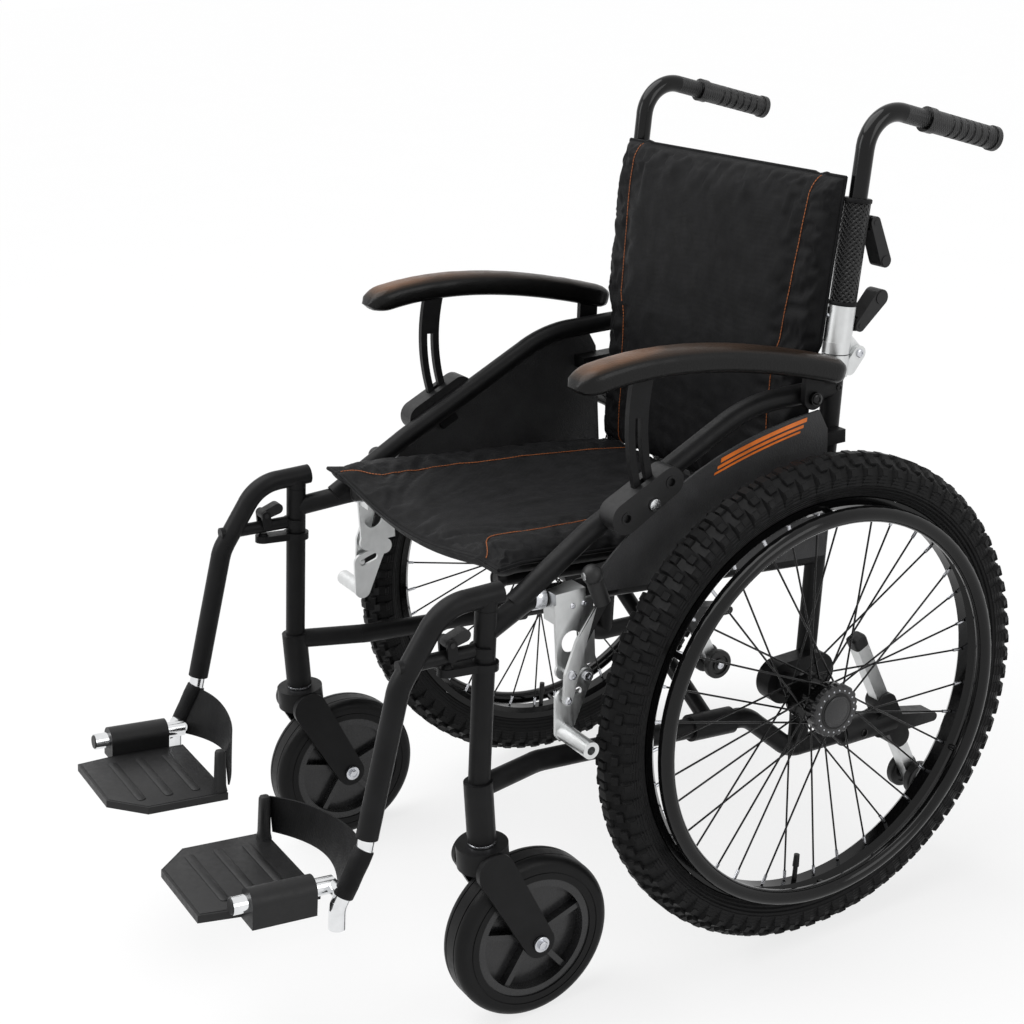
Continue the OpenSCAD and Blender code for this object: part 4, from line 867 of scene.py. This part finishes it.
def tread_block(bits, sign, flank, turn, half, low, high, height):
    """Tapered block on the tyre between two section angles, in degrees from the crown."""
    rings = []
    for lift, size in ((-2.0, 1.15), (height * 0.75, 0.94), (height, 0.8)):
        ring = []
        for share, end in ((-1, -1), (-1, 1), (1, 1), (1, -1)):
            phi = math.radians((low + high) / 2 + share * size * (high - low) / 2)
            r = TYRE_RING + (TYRE_SECTION + lift) * math.cos(phi)
            x = WHEEL_X + flank * (TYRE_SECTION + lift) * math.sin(phi)
            ring.append(wheel_ring(sign, r, turn + end * half * size / r, x))
        rings.append(ring)
    bits.loft(rings)


def ride_all(body, *parts):
    for part in parts:
        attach(part, body)


for side, sign in SIDES:
    outward = np.array((sign, 0, 0))
    tread = Bits()
    for i in range(KNOBS):
        for flank, rows in ((1, OUTER_ROWS), (-1, INNER_ROWS), (1, (CROWN_ROW,))):
            for phase, *block in rows:
                tread_block(tread, sign, flank, -math.pi / 2 + (i + phase) * 2 * math.pi / KNOBS, *block)
    nipples = Bits()
    for i in range(SPOKES):
        flange = i % 2 * 2 - 1
        sense = i // 2 % 2 * 2 - 1
        turn = i * 360 / SPOKES
        foot = wheel_ring(sign, FLANGE_R, math.radians(turn - sense * SPOKE_CROSS),
                          WHEEL_X + flange * FLANGE_SET + sense * ELBOW_SET)
        tip = wheel_ring(sign, RIM_R, math.radians(turn), WHEEL_X + flange * RIM_SET)
        way = (tip - foot) / np.linalg.norm(tip - foot)
        nipples.tube([tip - way * end for end in NIPPLE_ENDS], NIPPLE_R, 10)
    valve = Bits().tube([wheel_ring(sign, r, VALVE_TURN, WHEEL_X) for r, _ in VALVE],
                        [thick for _, thick in VALVE], 12)
    hub = Bits().loft([[wheel_ring(sign, size - scallop * abs(math.cos(a * HUB_LOBES / 2)) ** 6, a, x)
                        for a in full_turn(HUB_LOBES * LOBE_POINTS)] for x, size, scallop in HUB_RINGS])
    hub.turned(wheel_ring(sign, 0, 0, HUB_RINGS[-1][0]), outward, HUB_DISC, 48)
    rivets = Bits()
    for i in range(HUB_LOBES):
        turn = 2 * math.pi * (i + 0.5) / HUB_LOBES
        rivets.screw(wheel_ring(sign, RIVET_RING, turn, RIVET_X), outward, 1.1, 0.7)
    ride_all(f"{side}_wheel", tread.make(f"{side}_tread_blocks", "tyre_rubber"),
             nipples.make(f"{side}_spoke_nipples", "zinc"), valve.make(f"{side}_valve", "soft_rubber"),
             hub.make(f"{side}_hub_trim", "smooth_plastic"), rivets.make(f"{side}_hub_rivets", "zinc"))

# Small fittings
CASTER, NUT_SET = (-383.0, 100.0), 36
STEM_Y, FORK_TOP = -433, 233.0
LEVER_PIN, BRAKE_PIN, TAIL_PIN = (-316.9, 413.5), (-292.9, 403.5), (-322.9, 383.5)
BRAKE_X, CLAMP_BAND = 249.5, (-340, 497.9)
BACK_HINGE = (118.7, 700.1)
STRUT_TOP, STRUT_WAY = (134.0, 319.0), (0.4069, -0.9135)
TIP_AXLE, TIP_SET = (232.3, 98.2), 24
RAIL_END = (183, -270, 212)
PLATE_HINGE, PLATE_TILT, PLATE_TOP = (230.0, -606.2, 231.0), math.radians(7), -16.0
HINGE_TUBE = 116.0
# Screws in the frame: place, radius and height
BLACK_SCREWS = (
    (254.9, *ARM_PIVOT, 6.6, 2.0),  # arm pivot
    (FRAME_X + TUBE_R, 86.5, 664, 4.0, 1.6),  # rear post
    (242.2, 135, 194.8, 5.5, 1.6),  # tail moulding
)
BRIGHT_SCREWS = (
    (BRAKE_X + 21, *LEVER_PIN, 5.4, 2.2), (BRAKE_X + 13, *BRAKE_PIN, 5.4, 2.2),  # brake pivots
    (BRAKE_X + 4, -303, 488, 3.4, 1.6), (BRAKE_X + 4, -288, 488, 3.4, 1.6),  # brake bracket
    (237, *BACK_HINGE, 5.2, 1.6),  # back hinge
)
# Turned fittings: radius and height
BAND = ((12.6, 0), (14.2, 0), (14.6, 0.6), (14.6, 13.4), (14.2, 14), (12.6, 14))
NUT = ((9.5, -2), (9.5, 1.2), (9, 1.6), (5.8, 1.6), (5.6, 5.2), (4.8, 6), (3.6, 6), (3.4, 4.8), (0.2, 4.8))
WASHER = ((13.3, 0.6), (15.6, 0.6), (16, 1), (16, 3), (15.6, 3.4), (13.3, 3.4))
HEM = ((15.9, 0), (16.7, 0.2), (17.1, 1), (17.1, 4), (16.7, 4.8), (15.9, 5))
PLUG = ((8.6, -1), (8.6, 0.6), (8, 1.2), (0.2, 1.4))
RAIL_CAP = ((9.1, -9), (10, -9), (10.2, -8), (10.2, 1), (9.4, 2.2), (7.6, 2.4), (7.2, 1.2), (0.2, 1.2))
# Slot in the upper back tube: angle round it, and how far in from its skin; then its screw
SLOT_R, SLOT_ENDS = 16.2, (12, 54)
SLOT = ((-0.42, 0, 0), (-0.1, 0, 0), (-0.1, -0.1, -0.9), (-0.42, -0.5, -0.8))
SLOT_SCREW, SLOT_FACING = (-4.2, -16.4, 44), (-0.26, -1, 0)
HEMS = (57, CANE_LENGTH - 5.2)
# Cap of the anti-tip strut: distance down the strut, and half width
STRUT_CAP, CAP_POWER = ((8, 9.2), (8, 10.4), (-2, 10.8), (-6, 10), (-7.5, 7.5)), 0.4
# Skin on the footplate: its outline inside the plate's own edge, then share of that and height
SKIN = ((-170, -9), (-19.5, -9), (-19.5, -100), (-25, -140.5), (-134, -140.5), (-170, -105))
SKIN_RINGS = ((1, -0.4), (1, 0.4), (0.985, 0.9))
# Raised bars on it: half width and height
BAR_ENDS, BARS = (-148, -44), (-38, -72, -106)
BAR_RINGS = ((5.5, 0.2), (5.5, 1.6), (4.5, 2.3))
# Post that holds the heel strap: half width, half depth and height
HEEL_POST, POST_POWER = (-161, -12), 0.6
POST_RINGS = ((9.5, 8, PLATE_TOP), (7.4, 6.8, -9), (6.6, 6.4, 20), (6.2, 6.2, 33), (5, 5, 36), (2.5, 2.5, 37.2))
# Plain stripes on the skirt guard: lower and upper edge, and the two ends
STRIPES = ((3.0, 8.0, -100, 24), (-3.0, 0.5, -104, 20), (-8.0, -5.5, -108, 16))
GUARD_FACE, STRIPE_THICK, STRIPE_SLANT = 254.0, 0.5, 0.15
STRIPE_FOOT, STRIPE_RISE, STRIPE_MID, STRIPE_BOW = (-106, 611), 0.2, -38, 0.0006


def on_plate(sign, x, y, z):
    """A point of the footplate, from its hinge."""
    y, z = tilted(y, z, PLATE_TILT)
    return at(sign * (PLATE_HINGE[0] + x), PLATE_HINGE[1] + y, PLATE_HINGE[2] + z)


def bar_ring(sign, y, half, z):
    """Round-ended outline of a raised bar across the footplate."""
    ring = []
    for a in np.linspace(-math.pi / 2, 1.5 * math.pi, 24, endpoint=False):
        x = BAR_ENDS[1 if math.cos(a) > 1e-9 else 0]
        ring.append(on_plate(sign, x + half * math.cos(a), y + half * math.sin(a), z))
    return ring


def fit_frame(side, sign):
    """Stripes on the guard, screws, and the clamp band and rivet of the brake."""
    outward = np.array((sign, 0, 0))
    stripes = Bits()
    skins = (GUARD_FACE, GUARD_FACE + STRIPE_THICK)
    for low, high, start, stop in STRIPES:
        section = ((skins[0], low), (skins[1], low), (skins[1], high), (skins[0], high))
        rings = []
        for y in np.linspace(start, stop, 24):
            z = STRIPE_FOOT[1] + (y - STRIPE_FOOT[0]) * STRIPE_RISE - (y - STRIPE_MID) ** 2 * STRIPE_BOW
            rings.append([at(sign * x, y + dz * STRIPE_SLANT, z + dz) for x, dz in section])
        stripes.loft(rings)
    sockets, bolts = Bits(), Bits()
    for bits, screws in ((sockets, BLACK_SCREWS), (bolts, BRIGHT_SCREWS)):
        for x, y, z, radius, height in screws:
            bits.screw(at(sign * x, y, z), outward, radius, height)
    bolts.turned(at(sign * FRAME_X, *CLAMP_BAND), (0, math.cos(FRAME_TILT), -math.sin(FRAME_TILT)), BAND, 40)
    ride_all(f"{side}_frame", stripes.make(f"{side}_guard_stripes", "orange_stripe"),
             sockets.make(f"{side}_frame_sockets", "gloss_paint"), bolts.make(f"{side}_frame_bolts", "zinc"))
    rivet = Bits().screw(at(sign * (BRAKE_X + 20), *TAIL_PIN), outward, 4.6, 1.8)
    ride_all(f"{side}_brake_lever", rivet.make(f"{side}_lever_rivet", "zinc"))


def fit_caster(side, sign):
    """Axle nuts, and the washer under the post."""
    caster = Bits()
    for end in (sign, -sign):
        caster.turned(at(sign * FRONT_X + end * NUT_SET, *CASTER), (end, 0, 0), NUT)
    caster.turned(at(sign * FRONT_X, STEM_Y, FORK_TOP), (0, 0, 1), WASHER, 40)
    ride_all(f"{side}_caster_fork", caster.make(f"{side}_caster_bolts", "zinc"))


def fit_back(side, sign):
    """Dark slot with its screw, and the hems of the woven sleeve."""
    foot = on_cane(sign, 0, 0, 0)
    slot = Bits().loft([[on_cane(sign, SLOT_R * math.sin(a) + dx, -SLOT_R * math.cos(a) + dy, along)
                         for a, dx, dy in SLOT] for along in SLOT_ENDS])
    slot_screw = Bits().screw(on_cane(sign, *SLOT_SCREW), on_cane(sign, *SLOT_FACING) - foot, 2.6)
    hems = Bits()
    for along in HEMS:
        hems.turned(on_cane(sign, 0, 0, along), on_cane(sign, 0, 0, 1) - foot, HEM, 48)
    ride_all(f"{side}_back_cane", slot.make(f"{side}_hinge_slot", "smooth_plastic"),
             slot_screw.make(f"{side}_hinge_screw", "zinc"), hems.make(f"{side}_sleeve_hems", "webbing"))


def fit_antitip(side, sign):
    """Moulded cap of the strut, and bolt heads outside the two wheels."""
    rings = []
    for down, half in STRUT_CAP:
        y, z = (top + way * down for top, way in zip(STRUT_TOP, STRUT_WAY))
        ring = []
        for a in full_turn(24):
            wide, deep = (squarer(v, CAP_POWER) * half for v in (math.cos(a), math.sin(a)))
            ring.append(at(sign * (FRAME_X + wide), y - STRUT_WAY[1] * deep, z + STRUT_WAY[0] * deep))
        rings.append(ring)
    cap = Bits().loft(rings)
    tips = Bits()
    for end in (1, -1):
        tips.screw(at(sign * FRAME_X + end * TIP_SET, *TIP_AXLE), (end, 0, 0), 5.6, 2.0)
    ride_all(f"{side}_antitip_strut", cap.make(f"{side}_strut_cap", "fine_moulding"),
             tips.make(f"{side}_tip_bolts", "zinc"))


def fit_leg_rest(side, sign):
    """Plug in the hinge tube, and the footplate's skin, bars and heel post."""
    x, y, z = PLATE_HINGE
    forward = np.array((0, -math.cos(PLATE_TILT), math.sin(PLATE_TILT)))
    plug = Bits().turned(at(sign * x, y, z) + forward * HINGE_TUBE / 1000, forward, PLUG, 32)
    ride_all(f"{side}_hanger", plug.make(f"{side}_hinge_plug", "fine_moulding"))
    middle = np.mean(SKIN, axis=0)
    skin = Bits().loft([[on_plate(sign, *(middle + (np.array(p) - middle) * size), PLATE_TOP + rise)
                         for p in SKIN] for size, rise in SKIN_RINGS])
    for bar in BARS:
        skin.loft([bar_ring(sign, bar, half, PLATE_TOP + rise) for half, rise in BAR_RINGS])
    post = Bits().loft([[on_plate(sign, HEEL_POST[0] + wide * squarer(math.cos(a), POST_POWER),
                                  HEEL_POST[1] + deep * squarer(math.sin(a), POST_POWER), rise)
                         for a in full_turn(24)] for wide, deep, rise in POST_RINGS])
    ride_all(f"{side}_footplate", skin.make(f"{side}_plate_tread", "fine_moulding"),
             post.make(f"{side}_heel_post", "fine_moulding"))


def fit_seat_rail(side, sign):
    """Cap on the front end of the seat rail, which the other side's brace carries."""
    forward = seat_frame(0, -1, 0) - seat_frame(0, 0, 0)
    rail_cap = Bits().turned(seat_frame(sign * RAIL_END[0], *RAIL_END[1:]), forward, RAIL_CAP, 32)
    ride_all(f"{'right' if sign > 0 else 'left'}_brace", rail_cap.make(f"{side}_rail_cap", "fine_moulding"))


for side, sign in SIDES:
    for fit in (fit_frame, fit_caster, fit_back, fit_antitip, fit_leg_rest, fit_seat_rail):
        fit(side, sign)

# Studio: pale floor, white surround, soft lights
FLOOR_HALF = 20.0
FLOOR_GLOW = 0.78  # share of plain white in the floor as the camera sees it
AMBIENT, SURROUND = ((0.98, 0.985, 1, 1), 0.3), ((1, 1, 1, 1), 1.0)  # light of the world, and its look
corners = [(x * FLOOR_HALF, y * FLOOR_HALF, 0) for x, y in ((-1, -1), (1, -1), (1, 1), (-1, 1))]


def seen_directly(tree):
    """1 for rays from the camera, straight, mirrored or through glass."""
    path = tree.nodes.new("ShaderNodeLightPath")
    seen = path.outputs["Is Camera Ray"]
    for ray in ("Is Glossy Ray", "Is Transmission Ray"):
        either = tree.nodes.new("ShaderNodeMath")
        either.operation = "MAXIMUM"
        tree.links.new(seen, either.inputs[0])
        tree.links.new(path.outputs[ray], either.inputs[1])
        seen = either.outputs[0]
    return seen


s = keep(Shader("pale_floor", Roughness=0.9, Specular_IOR_Level=0.1))
s.colours(s.noise(3, 2), (0.2, (0.93, 0.93, 0.93)), (0.8, (0.955, 0.955, 0.955)))
glow = s.node("Emission", {"Color": (1, 1, 1, 1), "Strength": 1.0})
blend = s.node("MixShader")
s.join(s.maths("MULTIPLY", seen_directly(s.tree), FLOOR_GLOW), blend.inputs[0])
s.join(s.surface.outputs[0], blend.inputs[1])
s.join(glow.outputs[0], blend.inputs[2])
s.join(blend.outputs[0], s.tree.nodes["Material Output"].inputs[0])
piece("floor", corners, [(0, 1, 2, 3)], "pale_floor")

world = bpy.data.worlds.new("studio")
bpy.context.scene.world = world
world.use_nodes = True
tree = world.node_tree
tree.nodes.clear()
mixed = tree.nodes.new("ShaderNodeMixShader")
surround = tree.nodes.new("ShaderNodeOutputWorld")
tree.links.new(seen_directly(tree), mixed.inputs[0])
for socket, (colour, strength) in ((1, AMBIENT), (2, SURROUND)):
    sky = tree.nodes.new("ShaderNodeBackground")
    sky.inputs["Color"].default_value, sky.inputs["Strength"].default_value = colour, strength
    tree.links.new(sky.outputs[0], mixed.inputs[socket])
tree.links.new(mixed.outputs[0], surround.inputs[0])


def lamp(name, kind, place, aim, watts, **settings):
    """A lamp turned toward a point; a sun's strength stands in for its watts."""
    data = bpy.data.lights.new(name, kind)
    data.energy = watts
    for key, value in settings.items():
        setattr(data, key, value)
    made = bpy.data.objects.new(name, data)
    made.location = place
    made.rotation_euler = (Vector(aim) - Vector(place)).to_track_quat("-Z", "Y").to_euler()
    bpy.context.scene.collection.objects.link(made)


lamp("overhead", "SUN", (-0.25, -0.35, 1), (0, 0, 0), 2.5, angle=math.radians(60))
lamp("front_left", "AREA", (-1.2, -3.0, 2.2), (0, 0, 0.5), 30, shape="RECTANGLE", size=1.4, size_y=1.8)
lamp("near_side", "AREA", (3.4, 1.2, 1.9), (0, 0, 0.45), 26, shape="RECTANGLE", size=1.6, size_y=2.0)

# Camera, found from the photo: its angles in degrees, the point it looks at and how far off it stands
LENS, SHIFT = 61.63, (-0.0600, 0.0242)
AZIMUTH, ELEVATION, ROLL = 58.77, 20.62, -2.23
AIM, DISTANCE = (2, -146, 458), 2.223
camera = bpy.data.cameras.new("camera")
camera.lens = LENS
camera.sensor_width = 36
camera.shift_x, camera.shift_y = SHIFT
camera.clip_start, camera.clip_end = 0.05, 60
eye = bpy.data.objects.new("camera", camera)
az, el, roll = (math.radians(v) for v in (AZIMUTH, ELEVATION, ROLL))
back = Vector((math.sin(az) * math.cos(el), -math.cos(az) * math.cos(el), math.sin(el)))
right = Vector((math.cos(az), math.sin(az), 0))
up = back.cross(right)
c, s = math.cos(roll), math.sin(roll)
right, up = c * right + s * up, -s * right + c * up
place = Vector(at(*AIM)) + back * DISTANCE
eye.matrix_world = Matrix.Translation(place) @ Matrix((right, up, back)).transposed().to_4x4()
bpy.context.scene.collection.objects.link(eye)
bpy.context.scene.camera = eye
bpy.context.scene.view_settings.view_transform = "Standard"
